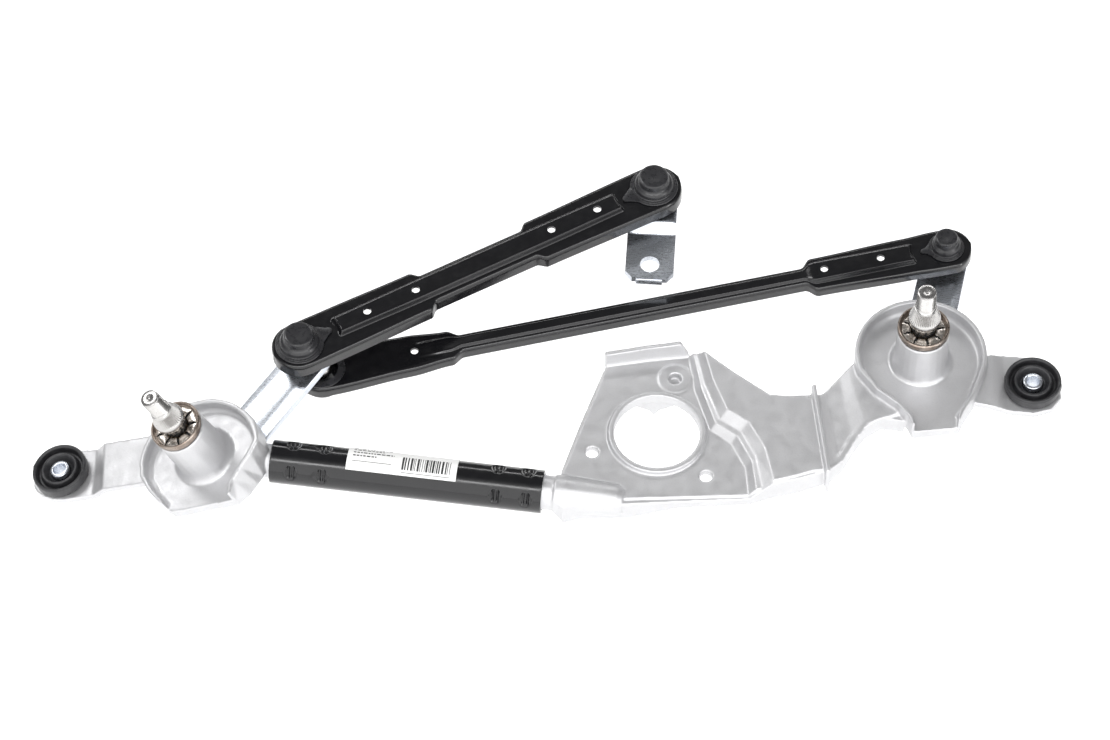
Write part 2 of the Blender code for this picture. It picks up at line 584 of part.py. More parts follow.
def motor_bracket():
    """The right casting: motor plate, stepped arm, drain dish, boss, lug and spigot."""
    rails = motor_plate_rails()
    casting = sheet("motor_bracket", rails, PLATE_THICKNESS, CAST)
    smooth(casting.data, 50.0)
    hole_frame = add_frame("motor_hole_frame", (*MOTOR_HOLE, 0.0))
    collar = rod("motor_collar", COLLAR_RADIUS, PLATE_TOP + 2.6, PLATE_TOP - 3.0, hole_frame, steps=36)
    lip_rim = [
        [(-162, 2, -71), (-140, 5.5, -71), (-119, 8, -71)],
        [(-162, 3.6, -68), (-140, 7.2, -68), (-119, 9.6, -68)],
        [(-162, 4.6, -62.5), (-140, 8.4, -62), (-123, 10.8, -61.5)],
    ]
    lip = sheet("motor_lip", lip_rim, 3.0)
    boss = rod("bolt_boss", 8.6, PLATE_TOP + 0.6, PLATE_TOP - 5.0)
    boss.location = Vector((*MOTOR_BOLTS[2], 0.0)) * MM
    stub, stub_frame = spigot("right_spigot", TUBE_RIGHT, -1.0, "right_spigot_frame")
    pipe_profile = [(0.0, -6.0), (9.8, -6.0), (9.2, -20.0), (8.2, -38.0), (6.6, -41.0), (0.0, -42.5)]
    half_pipe = turned("half_pipe", pipe_profile, None, stub_frame)
    front = wall(
        "front_skirt",
        [
            (-189, -79, -71, -80),
            (-184, -82, -71, -86),
            (-176, -81, -71, -84),
            (-152, -80.5, -71, -84),
            (-126, -79, -71, -77),
            (-90, -77.5, -71, -76),
            (-78, -73.5, -63, -76),
            (-64, -70, -63, -76),
            (-49, -65, -63, -75),
            (-43, -59.5, -63, -73.5),
            (-36.5, -48, -62, -73),
            (-30.5, -40, -61, -72),
            (-22, -34.5, -61, -71.5),
            (-13, -35.5, -61, -71),
            (-9.5, -36.5, -61, -71),
        ],
        3.2,
    )
    rear = wall(
        "rear_skirt",
        [
            (-161, -6, -72, -78),
            (-150, -10, -72, -84),
            (-140, -11, -72, -88),
            (-137, -11, -72, -92.5),
            (-134, -11, -72, -88),
            (-124, -10, -72, -84),
            (-112, -7, -72, -77),
        ],
        3.0,
    )
    side = wall("side_skirt", [(-162, 1, -72, -77), (-174, -32, -72, -77), (-184, -62, -72, -80)], 2.6)
    arm_rim = [(-110, 4, -64, -70), (-95, -8, -64, -70), (-77, -21, -64, -70), (-50, -20, -64, -70)]
    arm_edge = wall("arm_edge", arm_rim, 2.6)
    fin = wall("arm_fin", [(-55.5, -17, -57.5, -66), (-50.5, -62, -57.5, -68), (-49.5, -70, -58.5, -78)], 2.2)
    pieces = [collar, lip, boss, stub, half_pipe, front, rear, side, arm_edge, fin]

    frame = RIGHT_PIVOT
    outline = right_dish_outline(0.0)
    hollow = right_dish_outline(-DISH_WALL)
    hollow[0] = (hollow[0][0], -60.0)
    hollow[-1] = (hollow[-1][0], -60.0)
    floor = -(TIP_TO_RING + RING_TO_FLOOR_RIGHT)
    combine(casting, pieces, "UNION", "MANIFOLD")
    inside = prism("right_dish_clear", right_dish_outline(-DISH_WALL), floor + 20.0, floor, None, frame)
    combine(casting, [inside], "DIFFERENCE", "MANIFOLD")
    dish = casting_dish("right_dish", outline, hollow, RING_TO_FLOOR_RIGHT, frame)
    spindle_boss = casting_boss("right_boss", RING_TO_FLOOR_RIGHT, frame)
    lug_top = RIGHT_GROMMET[2] + 0.5 * LUG_THICKNESS
    lug_rails = [
        [(26, 3, -61.5), (22, -25, -61.5)],
        [(37, 4.5, -61.5), (36, -28, -61.5)],
        [(43, 5, lug_top), (44, -30, lug_top)],
        [(55, 4, lug_top), (57, -31.5, lug_top)],
        [(66, -1, lug_top), (66, -29, lug_top)],
        [(71.5, -8, lug_top), (71.5, -22, lug_top)],
    ]
    lug = sheet("right_lug", [list(reversed(rail)) for rail in reversed(lug_rails)], LUG_THICKNESS)
    combine(casting, [dish, spindle_boss, lug], "UNION", "MANIFOLD")

    motor_bore = rod("motor_bore", MOTOR_HOLE_RADIUS, PLATE_TOP + 12.0, PLATE_TOP - 12.0, hole_frame, steps=36)
    bore = rod("right_bore", BORE_RADIUS, -20.0, -100.0, frame)
    lug_hole = rod("right_lug_hole", LUG_HOLE_RADIUS, 12.0, -12.0, RIGHT_MOUNT)
    holes = [motor_bore, bore, lug_hole]
    for number, place in enumerate(MOTOR_BOLTS):
        depth = 8.0 if number < 2 else 3.4
        hole = rod(f"bolt_hole_{number}", BOLT_HOLE_RADIUS, PLATE_TOP + 8.0, PLATE_TOP - depth, steps=20)
        hole.location = Vector((*place, 0.0)) * MM
        holes.append(hole)
    combine(casting, holes, "DIFFERENCE", "MANIFOLD")
    return casting


def cross_tube():
    """The black tube over both spigots, and the paper label on its upper side."""
    along = TUBE_RIGHT - TUBE_LEFT
    frame = add_frame("tube_frame", TUBE_LEFT, axes_matrix(Vector((0.0, 0.0, 1.0)), along))
    length = along.length
    tube = ring("cross_tube", TUBE_RADIUS, TUBE_BORE, length, 0.0, BLACK, frame, steps=36)
    radius = TUBE_RADIUS + 0.35
    rails = []
    for turn in range(57, 170, 14):
        angle = math.radians(turn - 90.0)
        y, x = radius * math.sin(angle), radius * math.cos(angle)
        rails.append([(x, -y, 39.2), (x, -y, 95.8)])
    label = sheet("tube_label", rails, 0.15, PAPER, frame)
    smooth(label.data, 60.0)
    return tube


def short_link():
    """The upper link, from the left lever to the crank, with both its sockets."""
    start = LEFT_BALL_PLACE * (1.0 / MM)
    along = CRANK_BALL - start
    frame = add_frame("short_link_frame", start, link_axes(along))
    length = along.length
    stations = [
        (4.0, 14.4, 7.0, 4.0, 0.0),
        (19.0, 14.2, 7.0, 4.0, 0.0),
        (23.0, 14.0, 7.0, 4.6, 3.0),
        (66.0, 13.4, 7.0, 5.2, 3.0),
        (78.0, 9.6, 7.5, 5.2, 3.0),
        (128.0, 9.6, 7.5, 5.2, 3.0),
        (140.0, 13.4, 7.0, 5.2, 3.0),
        (length - 24.0, 14.0, 7.0, 4.6, 3.0),
        (length - 20.0, 14.2, 7.0, 4.0, 0.0),
        (length - 4.0, 14.4, 7.0, 4.0, 0.0),
    ]
    link = stamped_link("short_link_rod", stations, length, 14.6, 7.0, BLACK, frame)
    punch(link, frame, (39.0, 67.0, 146.0, 173.0), 2.1)
    punch(link, frame, (0.0, length), 11.1, steps=STEPS)
    far = add_frame("crank_joint_frame", (length, 0.0, 0.0), None, frame)
    socket("short_link_left_socket", 1.0, BALL_RADIUS + GAP, PLASTIC, frame, 1)
    socket("short_link_right_socket", 1.0, BALL_RADIUS + GAP, PLASTIC, far, -1)
    return link


def long_link():
    """The lower link, from the right lever's ball to the ball under the left lever, with both its sockets."""
    right = RIGHT_BALL_PLACE * (1.0 / MM)
    left = OPEN_BALL_PLACE * (1.0 / MM)
    along = left - right
    frame = add_frame("long_link_frame", right, link_axes(along))
    length = along.length
    stations = [
        (4.0, 12.8, 5.2, 4.0, 0.0),
        (18.0, 12.2, 5.2, 4.0, 0.0),
        (22.0, 12.0, 5.2, 5.0, 2.6),
        (70.0, 10.6, 5.2, 5.4, 2.6),
        (78.0, 5.6, 5.6, 2.2, 1.2),
        (258.0, 5.6, 5.6, 2.2, 1.2),
        (268.0, 9.4, 5.2, 3.6, 0.8),
        (288.0, 11.4, 5.2, 3.6, 0.0),
        (length - 4.0, 14.2, 5.2, 4.0, 0.0),
    ]
    link = stamped_link("long_link_rod", stations, length, 13.6, 5.2, BLACK, frame)
    punch(link, frame, (35.3, 65.6, 284.0), 2.0)
    punch(link, frame, (0.0,), 8.4, steps=STEPS)
    punch_far = rod("long_link_far_hole", 11.1, 8.0, -9.0, frame)
    punch_far.location.x = length * MM
    cut(link, punch_far)
    far = add_frame("open_joint_frame", (length, 0.0, 0.0), None, frame)
    socket("long_link_right_socket", 0.75, SMALL_BALL_RADIUS + GAP, PLASTIC, frame, 1)
    open_socket("long_link_left_socket", PLASTIC, far)
    return link


def crank():
    """The crank arm below the short link's right socket, with its ball stud and the motor shaft's hole."""
    direction = Vector((-2.4, -39.3, 0.0))
    frame = add_frame("crank_frame", CRANK_BALL, axes_matrix(direction, Vector((0.0, 0.0, 1.0))))
    top = -(CRANK_REACH - 0.5 * LEVER_THICKNESS)
    low = top - CRANK_DROP
    width = 12.6
    shape = []
    for turn in (0.0, 20.0, 40.0, 60.0, 80.0):
        angle = math.radians(turn)
        shape.append((-width * math.cos(angle), width * math.sin(angle), top))
    shape += [(15.0, width, top), (19.5, width, low), (44.0, width, low), (48.0, 9.0, low)]
    rails = [[(x, -half, z), (x, half, z)] for x, half, z in shape]
    arm = sheet("crank_arm", list(reversed(rails)), CRANK_THICKNESS, ZINC, frame)
    front_tab = block("crank_front_tab", (44.5, -7.0, low - 5.5), (48.5, 7.0, low - 1.0), frame)
    union(arm, front_tab)
    for number, side in enumerate((-1.0, 1.0)):
        inner, outer = sorted((side * (width - 3.0), side * (width - 0.2)))
        corner = (38.0, inner, low - 5.5), (43.5, outer, low - 1.0)
        union(arm, block(f"crank_corner_tab_{number}", *corner, frame))
    hole = rod("crank_hole", CRANK_HOLE_RADIUS, 0.0, -40.0, frame, steps=24)
    hole.location.x = CRANK_RADIUS * MM
    seat = rod("crank_stud_hole", 4.0 + GAP, 0.0, -40.0, frame, steps=20)
    cut(arm, hole, seat)
    plate = 0.5 * CRANK_THICKNESS + GAP
    middle = top - 0.5 * CRANK_THICKNESS
    profile = ball_arc(BALL_RADIUS, NECK_RADIUS)
    profile += [(NECK_RADIUS, middle + plate + 2.2), (6.4, middle + plate + 2.0), (6.4, middle + plate)]
    profile += [(4.0, middle + plate), (4.0, middle - plate), (5.8, middle - plate)]
    profile += [(4.8, middle - plate - 1.4), (0.0, middle - plate - 1.6)]
    turned("crank_ball_stud", profile, STEEL, frame, steps=16)
    return arm


clear_scene()
PARTS = make_collection("wiper_linkage")
HELPERS = make_collection("helpers")
CAST = make_material("cast_aluminium", (0.62, 0.62, 0.63), 0.45, 1.0)
BLACK = make_material("black_enamel", (0.012, 0.012, 0.013), 0.25, 0.0)
PLASTIC = make_material("black_plastic", (0.035, 0.035, 0.037), 0.45, 0.0)
RUBBER = make_material("rubber", (0.03, 0.03, 0.032), 0.7, 0.0)
ZINC = make_material("zinc_plate", (0.66, 0.69, 0.74), 0.3, 1.0)
STEEL = make_material("bright_steel", (0.72, 0.71, 0.69), 0.25, 1.0)
RING_STEEL = make_material("dark_spring_steel", (0.16, 0.13, 0.11), 0.35, 1.0)
BRONZE = make_material("sintered_bronze", (0.45, 0.28, 0.13), 0.5, 1.0)
PAPER = make_material("label_paper", (0.85, 0.85, 0.84), 0.6, 0.0)

left_axis = Vector((0.0, 0.0, 1.0))
left_axis.rotate(Matrix.Rotation(LEFT_LEAN, 3, "Y"))
left_axis.rotate(Matrix.Rotation(LEFT_LEAN_HEADING, 3, "Z"))
left_tip = LEFT_FLOOR + left_axis * (TIP_TO_RING + RING_TO_FLOOR_LEFT)

RIGHT_PIVOT = add_frame("right_pivot", (0.0, 0.0, 0.0))
LEFT_PIVOT = add_frame("left_pivot", left_tip, axes_matrix(Vector((1.0, 0.0, 0.0)), left_axis))
right_lever_z = -(TIP_TO_RING + RING_TO_FLOOR_RIGHT + FLOOR_TO_LEVER)
left_lever_z = -(TIP_TO_RING + RING_TO_FLOOR_LEFT + FLOOR_TO_LEVER)
turn_right = Matrix.Rotation(RIGHT_LEVER_ANGLE, 3, "Z")
turn_left = Matrix.Rotation(LEFT_LEVER_ANGLE, 3, "Z")
RIGHT_LEVER = add_frame("right_lever_frame", (0.0, 0.0, right_lever_z), turn_right, RIGHT_PIVOT)
LEFT_LEVER = add_frame("left_lever_frame", (0.0, 0.0, left_lever_z), turn_left, LEFT_PIVOT)
RIGHT_STUD = add_frame("right_stud_frame", (LEVER_LENGTH, 0.0, 0.0), None, RIGHT_LEVER)
LEFT_STUD = add_frame("left_stud_frame", (LEVER_LENGTH, 0.0, 0.0), None, LEFT_LEVER)
RIGHT_MOUNT = add_frame("right_mount", RIGHT_GROMMET)
LEFT_MOUNT = add_frame(
    "left_mount",
    LEFT_GROMMET,
    axes_matrix(Vector((1.0, 0.0, 0.0)), LEFT_GROMMET_AXIS),
    LEFT_PIVOT,
)
bpy.context.view_layer.update()
RIGHT_BALL_PLACE = RIGHT_STUD.matrix_world @ Vector((0.0, 0.0, RIGHT_BALL_REACH * MM))
LEFT_BALL_PLACE = LEFT_STUD.matrix_world @ Vector((0.0, 0.0, LEFT_BALL_REACH * MM))
OPEN_BALL_PLACE = LEFT_STUD.matrix_world @ Vector((0.0, 0.0, -LEFT_BALL_REACH * MM))

pivot_pieces("right", RING_TO_FLOOR_RIGHT, RIGHT_PIVOT, RIGHT_LEVER)
pivot_pieces("left", RING_TO_FLOOR_LEFT, LEFT_PIVOT, LEFT_LEVER)
single_stud("right_ball_stud", SMALL_BALL_RADIUS, RIGHT_BALL_REACH, STEEL, RIGHT_STUD)
double_stud("left_double_ball_stud", STEEL, LEFT_STUD)
left_pivot_housing(LEFT_PIVOT, LEFT_MOUNT)
motor_bracket()
cross_tube()
short_link()
long_link()
crank()
grommet("right_grommet", RIGHT_MOUNT, RUBBER)
grommet("left_grommet", LEFT_MOUNT, RUBBER)
grommet_sleeve("right_grommet_sleeve", RIGHT_MOUNT, ZINC)
grommet_sleeve("left_grommet_sleeve", LEFT_MOUNT, ZINC)
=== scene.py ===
"""Looks for the windshield wiper linkage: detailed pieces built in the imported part's own frame.

Lengths are written in millimetres and scaled to metres by MM. A piece is drawn in its own frame,
such as that of one spindle, and its mesh is then carried to the row frame, so every object sits at
the origin.
"""

import math

import bmesh
import bpy
import numpy as np
from mathutils import Matrix, Vector


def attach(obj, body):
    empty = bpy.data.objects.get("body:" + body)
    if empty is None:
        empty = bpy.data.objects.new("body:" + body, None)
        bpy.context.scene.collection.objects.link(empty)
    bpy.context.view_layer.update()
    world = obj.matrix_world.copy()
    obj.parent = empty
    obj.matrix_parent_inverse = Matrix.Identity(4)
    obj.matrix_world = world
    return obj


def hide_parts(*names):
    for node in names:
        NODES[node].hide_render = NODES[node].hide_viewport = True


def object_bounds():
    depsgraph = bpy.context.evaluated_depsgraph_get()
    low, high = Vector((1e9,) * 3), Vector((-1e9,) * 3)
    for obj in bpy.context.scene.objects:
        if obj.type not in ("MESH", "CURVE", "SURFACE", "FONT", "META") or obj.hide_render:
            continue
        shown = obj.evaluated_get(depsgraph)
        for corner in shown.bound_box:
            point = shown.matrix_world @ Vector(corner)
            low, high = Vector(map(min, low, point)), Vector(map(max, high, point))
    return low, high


MM = 0.001
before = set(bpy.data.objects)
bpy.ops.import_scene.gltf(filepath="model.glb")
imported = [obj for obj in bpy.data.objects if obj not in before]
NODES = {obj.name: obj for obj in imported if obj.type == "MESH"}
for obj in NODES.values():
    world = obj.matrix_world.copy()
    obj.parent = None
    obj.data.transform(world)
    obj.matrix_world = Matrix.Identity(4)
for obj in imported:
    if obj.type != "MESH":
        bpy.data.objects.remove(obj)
CAD_LOW, CAD_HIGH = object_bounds()


# ---------------------------------------------------------------- frames


def rotation(x_axis, z_axis):
    """A rotation whose z is z_axis and whose x is as near to x_axis as it can be."""
    z = Vector(z_axis).normalized()
    x = Vector(x_axis)
    x = (x - z * x.dot(z)).normalized()
    return Matrix((x, z.cross(x), z)).transposed().to_4x4()


def link_rotation(along):
    """A rotation whose x is along the link and whose z is as near to +Z as it can be."""
    x = Vector(along).normalized()
    z = (Vector((0.0, 0.0, 1.0)) - x * x.z).normalized()
    return Matrix((x, z.cross(x), z)).transposed().to_4x4()


def moved(x=0.0, y=0.0, z=0.0):
    return Matrix.Translation((x, y, z))


TIP_TO_RING = 30.0
FLOOR_LEFT = 67.0
FLOOR_RIGHT = 61.0
FLOOR_TO_LEVER = 14.0
LEVER_LENGTH = 75.0
LEFT_LEVER_TURN = math.radians(46.8)
RIGHT_LEVER_TURN = math.radians(77.3)
SHORT_BALL_RISE = 14.0
LONG_BALL_RISE = 12.0
LONG_BALL_DROP = 14.0
LEFT_LEAN = math.radians(22.2)
LEFT_HEADING = math.radians(194.9)

left_axis = Vector((0.0, 0.0, 1.0))
left_axis.rotate(Matrix.Rotation(LEFT_LEAN, 3, "Y"))
left_axis.rotate(Matrix.Rotation(LEFT_HEADING, 3, "Z"))
LEFT = Matrix.Translation(Vector((-367.0, -52.0, -72.0)) + left_axis * FLOOR_LEFT)
LEFT = LEFT @ rotation((1.0, 0.0, 0.0), left_axis)
RIGHT = Matrix.Identity(4)
LEFT_LEVER = LEFT @ moved(z=-FLOOR_LEFT - FLOOR_TO_LEVER)
LEFT_LEVER = LEFT_LEVER @ Matrix.Rotation(LEFT_LEVER_TURN, 4, "Z")
RIGHT_LEVER = RIGHT @ moved(z=-FLOOR_RIGHT - FLOOR_TO_LEVER)
RIGHT_LEVER = RIGHT_LEVER @ Matrix.Rotation(RIGHT_LEVER_TURN, 4, "Z")
LEFT_STUD = LEFT_LEVER @ moved(LEVER_LENGTH)
RIGHT_STUD = RIGHT_LEVER @ moved(LEVER_LENGTH)
LEFT_MOUNT = LEFT @ moved(-82.0, 6.0, -70.5) @ rotation((1.0, 0.0, 0.0), (0.11, 0.10, 0.989))
RIGHT_MOUNT = moved(57.0, -15.0, -65.0)

SHORT_START = LEFT_STUD @ Vector((0.0, 0.0, SHORT_BALL_RISE))
CRANK_BALL = Vector((-136.5, 96.3, -41.0))
SHORT_LENGTH = (CRANK_BALL - SHORT_START).length
SHORT = Matrix.Translation(SHORT_START) @ link_rotation(CRANK_BALL - SHORT_START)
LONG_START = RIGHT_STUD @ Vector((0.0, 0.0, LONG_BALL_RISE))
LONG_END = LEFT_STUD @ Vector((0.0, 0.0, -LONG_BALL_DROP))
LONG_LENGTH = (LONG_END - LONG_START).length
LONG = Matrix.Translation(LONG_START) @ link_rotation(LONG_END - LONG_START)
CRANK = Matrix.Translation(CRANK_BALL) @ rotation((-2.4, -39.3, 0.0), (0.0, 0.0, 1.0))
TUBE_START = Vector((-332.9, -52.7, -75.0))
TUBE_END = Vector((-194.3, -71.7, -75.0))
TUBE_LENGTH = (TUBE_END - TUBE_START).length
TUBE = Matrix.Translation(TUBE_START) @ rotation((0.0, 0.0, 1.0), TUBE_END - TUBE_START)


# ---------------------------------------------------------------- materials


def set_range(node, low, high, to_low, to_high):
    """Sets the four limits of a Map Range node."""
    names = ("From Min", "From Max", "To Min", "To Max")
    for socket, number in zip(names, (low, high, to_low, to_high)):
        node.inputs[socket].default_value = number


class Look:
    """A Principled material with a few procedural layers, read in object space and so in metres."""

    def __init__(self, name, colour, roughness, metallic=0.0, coat=0.0):
        self.material = bpy.data.materials.new(name)
        self.material.use_nodes = True
        self.nodes = self.material.node_tree.nodes
        self.links = self.material.node_tree.links
        self.shader = self.nodes["Principled BSDF"]
        self.shader.inputs["Metallic"].default_value = metallic
        self.shader.inputs["Coat Weight"].default_value = coat
        self.shader.inputs["Coat Roughness"].default_value = 0.08
        self.place = self.nodes.new("ShaderNodeTexCoord").outputs["Object"]
        self.colour = colour
        self.roughness = roughness
        self.height = None
        self.shader.inputs["Base Color"].default_value = (*colour, 1.0)
        self.shader.inputs["Roughness"].default_value = roughness
        self.paint = None
        self.rough = None

    def noise(self, scale, detail, stretch=None):
        made = self.nodes.new("ShaderNodeTexNoise")
        made.inputs["Scale"].default_value = scale
        made.inputs["Detail"].default_value = detail
        source = self.place
        if stretch:
            mapping = self.nodes.new("ShaderNodeMapping")
            mapping.inputs["Scale"].default_value = stretch
            self.links.new(self.place, mapping.inputs["Vector"])
            source = mapping.outputs["Vector"]
        self.links.new(source, made.inputs["Vector"])
        return made.outputs["Fac"]

    def mapped(self, value, low, high, to_low, to_high):
        made = self.nodes.new("ShaderNodeMapRange")
        set_range(made, low, high, to_low, to_high)
        self.links.new(value, made.inputs["Value"])
        return made.outputs["Result"]

    def mottled(self, value, other):
        """Mixes the base colour towards other where value is high."""
        mix = self.nodes.new("ShaderNodeMix")
        mix.data_type = "RGBA"
        self.links.new(value, mix.inputs["Factor"])
        if self.paint is None:
            mix.inputs["A"].default_value = (*self.colour, 1.0)
        else:
            self.links.new(self.paint, mix.inputs["A"])
        mix.inputs["B"].default_value = (*other, 1.0)
        self.paint = mix.outputs["Result"]
        self.links.new(self.paint, self.shader.inputs["Base Color"])

    def roughened(self, value):
        """Adds value to the roughness."""
        add = self.nodes.new("ShaderNodeMath")
        add.operation = "ADD"
        self.links.new(value, add.inputs[0])
        if self.rough is None:
            add.inputs[1].default_value = self.roughness
        else:
            self.links.new(self.rough, add.inputs[1])
        self.rough = add.outputs["Value"]
        self.links.new(self.rough, self.shader.inputs["Roughness"])

    def clouded(self, scale, detail, low, high, share, other):
        """Mixes the base colour towards other in soft clouds, by share at most."""
        self.mottled(self.mapped(self.noise(scale, detail), low, high, 0.0, share), other)

    def scuffed(self, scale, detail, low, high):
        """Changes the roughness by low to high in soft clouds."""
        self.roughened(self.mapped(self.noise(scale, detail), 0.3, 0.7, low, high))

    def bumped(self, value, depth):
        """Adds value as height, depth millimetres from 0 to 1."""
        bump = self.nodes.new("ShaderNodeBump")
        bump.inputs["Strength"].default_value = 1.0
        bump.inputs["Distance"].default_value = depth * MM
        self.links.new(value, bump.inputs["Height"])
        if self.height is not None:
            self.links.new(self.height, bump.inputs["Normal"])
        self.height = bump.outputs["Normal"]
        self.links.new(self.height, self.shader.inputs["Normal"])

    def pit_shade_dots(self, scale, radius):
        """Sparse round dots, 1 inside a dot: a mask for painted shade standing for small pits, with
        no dent cut.
        """
        cells = self.nodes.new("ShaderNodeTexVoronoi")
        cells.inputs["Scale"].default_value = scale
        self.links.new(self.place, cells.inputs["Vector"])
        inside = self.mapped(cells.outputs["Distance"], radius * 0.7, radius, 1.0, 0.0)
        split = self.nodes.new("ShaderNodeSeparateColor")
        self.links.new(cells.outputs["Color"], split.inputs["Color"])
        chosen = self.mapped(split.outputs["Red"], 0.86, 0.88, 0.0, 1.0)
        both = self.nodes.new("ShaderNodeMath")
        both.operation = "MULTIPLY"
        self.links.new(inside, both.inputs[0])
        self.links.new(chosen, both.inputs[1])
        return both.outputs["Value"]


def make_cast():
    look = Look("cast_aluminium_satin", (0.60, 0.60, 0.61), 0.44, metallic=0.72)
    look.clouded(55.0, 3.0, 0.35, 0.7, 0.6, (0.55, 0.55, 0.56))
    look.clouded(1400.0, 3.0, 0.5, 0.85, 0.35, (0.44, 0.44, 0.45))
    # Near-black dots: painted shade for small casting pits, which have no dent.
    look.mottled(look.pit_shade_dots(70.0, 0.022), (0.03, 0.03, 0.03))
    look.scuffed(160.0, 5.0, -0.05, 0.08)
    look.bumped(look.noise(900.0, 6.0), 0.05)
    look.bumped(look.noise(170.0, 3.0), 0.10)
    return look.material


def make_enamel():
    look = Look("black_enamel_gloss", (0.005, 0.005, 0.006), 0.15, coat=0.12)
    look.clouded(90.0, 4.0, 0.45, 0.75, 0.6, (0.009, 0.009, 0.010))
    look.scuffed(240.0, 4.0, -0.04, 0.09)
    look.bumped(look.noise(700.0, 4.0), 0.018)
    look.bumped(look.noise(90.0, 2.0), 0.09)
    return look.material


def make_plastic():
    look = Look("black_plastic_moulded", (0.016, 0.016, 0.018), 0.28)
    look.clouded(130.0, 4.0, 0.4, 0.7, 0.6, (0.024, 0.024, 0.026))
    look.scuffed(400.0, 4.0, -0.05, 0.08)
    look.bumped(look.noise(1600.0, 4.0), 0.02)
    return look.material


def make_rubber():
    look = Look("rubber_black", (0.018, 0.018, 0.020), 0.42)
    look.clouded(260.0, 5.0, 0.45, 0.75, 0.7, (0.044, 0.044, 0.047))
    look.bumped(look.noise(1300.0, 5.0), 0.03)
    look.bumped(look.noise(260.0, 2.0), 0.06)
    return look.material


def make_zinc():
    look = Look("zinc_plate_bright", (0.66, 0.69, 0.74), 0.27, metallic=1.0)
    look.clouded(70.0, 4.0, 0.4, 0.7, 0.7, (0.56, 0.59, 0.65))
    lines = look.noise(500.0, 4.0, (1.0, 9.0, 1.0))
    look.roughened(look.mapped(lines, 0.3, 0.7, -0.05, 0.12))
    look.bumped(lines, 0.012)
    look.bumped(look.noise(1100.0, 4.0), 0.012)
    return look.material


def make_steel():
    look = Look("turned_steel_bright", (0.50, 0.49, 0.48), 0.24, metallic=1.0)
    look.clouded(300.0, 4.0, 0.45, 0.75, 0.4, (0.42, 0.41, 0.40))
    look.scuffed(800.0, 4.0, -0.02, 0.05)
    look.bumped(look.noise(1500.0, 3.0), 0.002)
    return look.material


def make_spring_steel():
    look = Look("spring_steel_oiled", (0.24, 0.195, 0.165), 0.28, metallic=1.0)
    look.clouded(200.0, 5.0, 0.4, 0.7, 0.8, (0.40, 0.35, 0.31))
    look.scuffed(500.0, 4.0, -0.05, 0.10)
    look.bumped(look.noise(900.0, 4.0), 0.015)
    return look.material


# The lock ring's tabs: the cup's spring steel painted much lighter, a painted highlight for the
# bright band round the spindle's cone. The darker clouds are random tone.
def make_tab_highlight():
    look = Look("spring_steel_painted_highlight", (0.70, 0.65, 0.60), 0.25, metallic=1.0)
    look.clouded(350.0, 5.0, 0.45, 0.75, 0.8, (0.30, 0.25, 0.21))
    look.scuffed(700.0, 4.0, -0.05, 0.10)
    look.bumped(look.noise(900.0, 4.0), 0.015)
    return look.material


def make_bronze():
    look = Look("bronze_sintered", (0.45, 0.28, 0.13), 0.48, metallic=1.0)
    look.clouded(900.0, 5.0, 0.5, 0.75, 0.8, (0.25, 0.15, 0.07))
    look.bumped(look.noise(1500.0, 5.0), 0.03)
    return look.material


def make_paper():
    look = Look("label_paper_white", (0.86, 0.86, 0.85), 0.50)
    look.clouded(200.0, 5.0, 0.45, 0.75, 0.5, (0.80, 0.80, 0.79))
    look.bumped(look.noise(1200.0, 4.0), 0.008)
    return look.material


def make_ink():
    look = Look("label_ink", (0.02, 0.02, 0.022), 0.55)
    look.clouded(900.0, 4.0, 0.5, 0.8, 0.5, (0.08, 0.08, 0.08))
    return look.material


CAST = make_cast()
ENAMEL = make_enamel()
PLASTIC = make_plastic()
RUBBER = make_rubber()
ZINC = make_zinc()
STEEL = make_steel()
SPRING = make_spring_steel()
TAB_HIGHLIGHT = make_tab_highlight()
BRONZE = make_bronze()
PAPER = make_paper()
INK = make_ink()


# ---------------------------------------------------------------- building


SHARP = 38.0
EASE_STEPS = 4
CIRCLE_STEPS = 64


def new_mesh(name, points, faces, place=None):
    """A mesh in metres from points in millimetres, carried by a matrix, its faces turned out."""
    grid = np.asarray(points, float).reshape(-1, 3)
    if place is not None:
        turn = np.array(place, float)
        grid = grid @ turn[:3, :3].T + turn[:3, 3]
    mesh = bpy.data.meshes.new(name)
    mesh.from_pydata((grid * MM).tolist(), [], faces)
    solid = bmesh.new()
    solid.from_mesh(mesh)
    bmesh.ops.recalc_face_normals(solid, faces=solid.faces)
    solid.to_mesh(mesh)
    solid.free()
    return mesh


def add(name, mesh, material=None):
    made = bpy.data.objects.new(name, mesh)
    bpy.context.scene.collection.objects.link(made)
    if material:
        mesh.materials.clear()
        mesh.materials.append(material)
    return made


def shade(mesh, angle):
    """Smooth shading, with edges sharper than an angle in degrees kept sharp."""
    mesh.shade_smooth()
    mesh.set_sharp_from_angle(angle=math.radians(angle))


def settle(made, angle=SHARP):
    """Turns an object's modifiers into its mesh and sets its shading."""
    graph = bpy.context.evaluated_depsgraph_get()
    mesh = bpy.data.meshes.new_from_object(made.evaluated_get(graph))
    old = made.data
    made.modifiers.clear()
    made.data = mesh
    mesh.name = made.name
    bpy.data.meshes.remove(old)
    shade(mesh, angle)
    return made


def wear(made, node, body):
    """Makes a finished piece stand for a CAD node and ride on a body."""
    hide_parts(node)
    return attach(made, body)


def boolean(made, others, operation="DIFFERENCE", solver="EXACT"):
    """Cuts or joins the other objects, which are then removed."""
    for other in others:
        change = made.modifiers.new(other.name, "BOOLEAN")
        change.operation = operation
        change.object = other
        change.solver = solver
    settle(made)
    for other in others:
        bpy.data.objects.remove(other)
    return made


def bevel(made, width, segments=2, angle=40.0):
    edge = made.modifiers.new("edge", "BEVEL")
    edge.width = width * MM
    edge.segments = segments
    edge.limit_method = "ANGLE"
    edge.angle_limit = math.radians(angle)


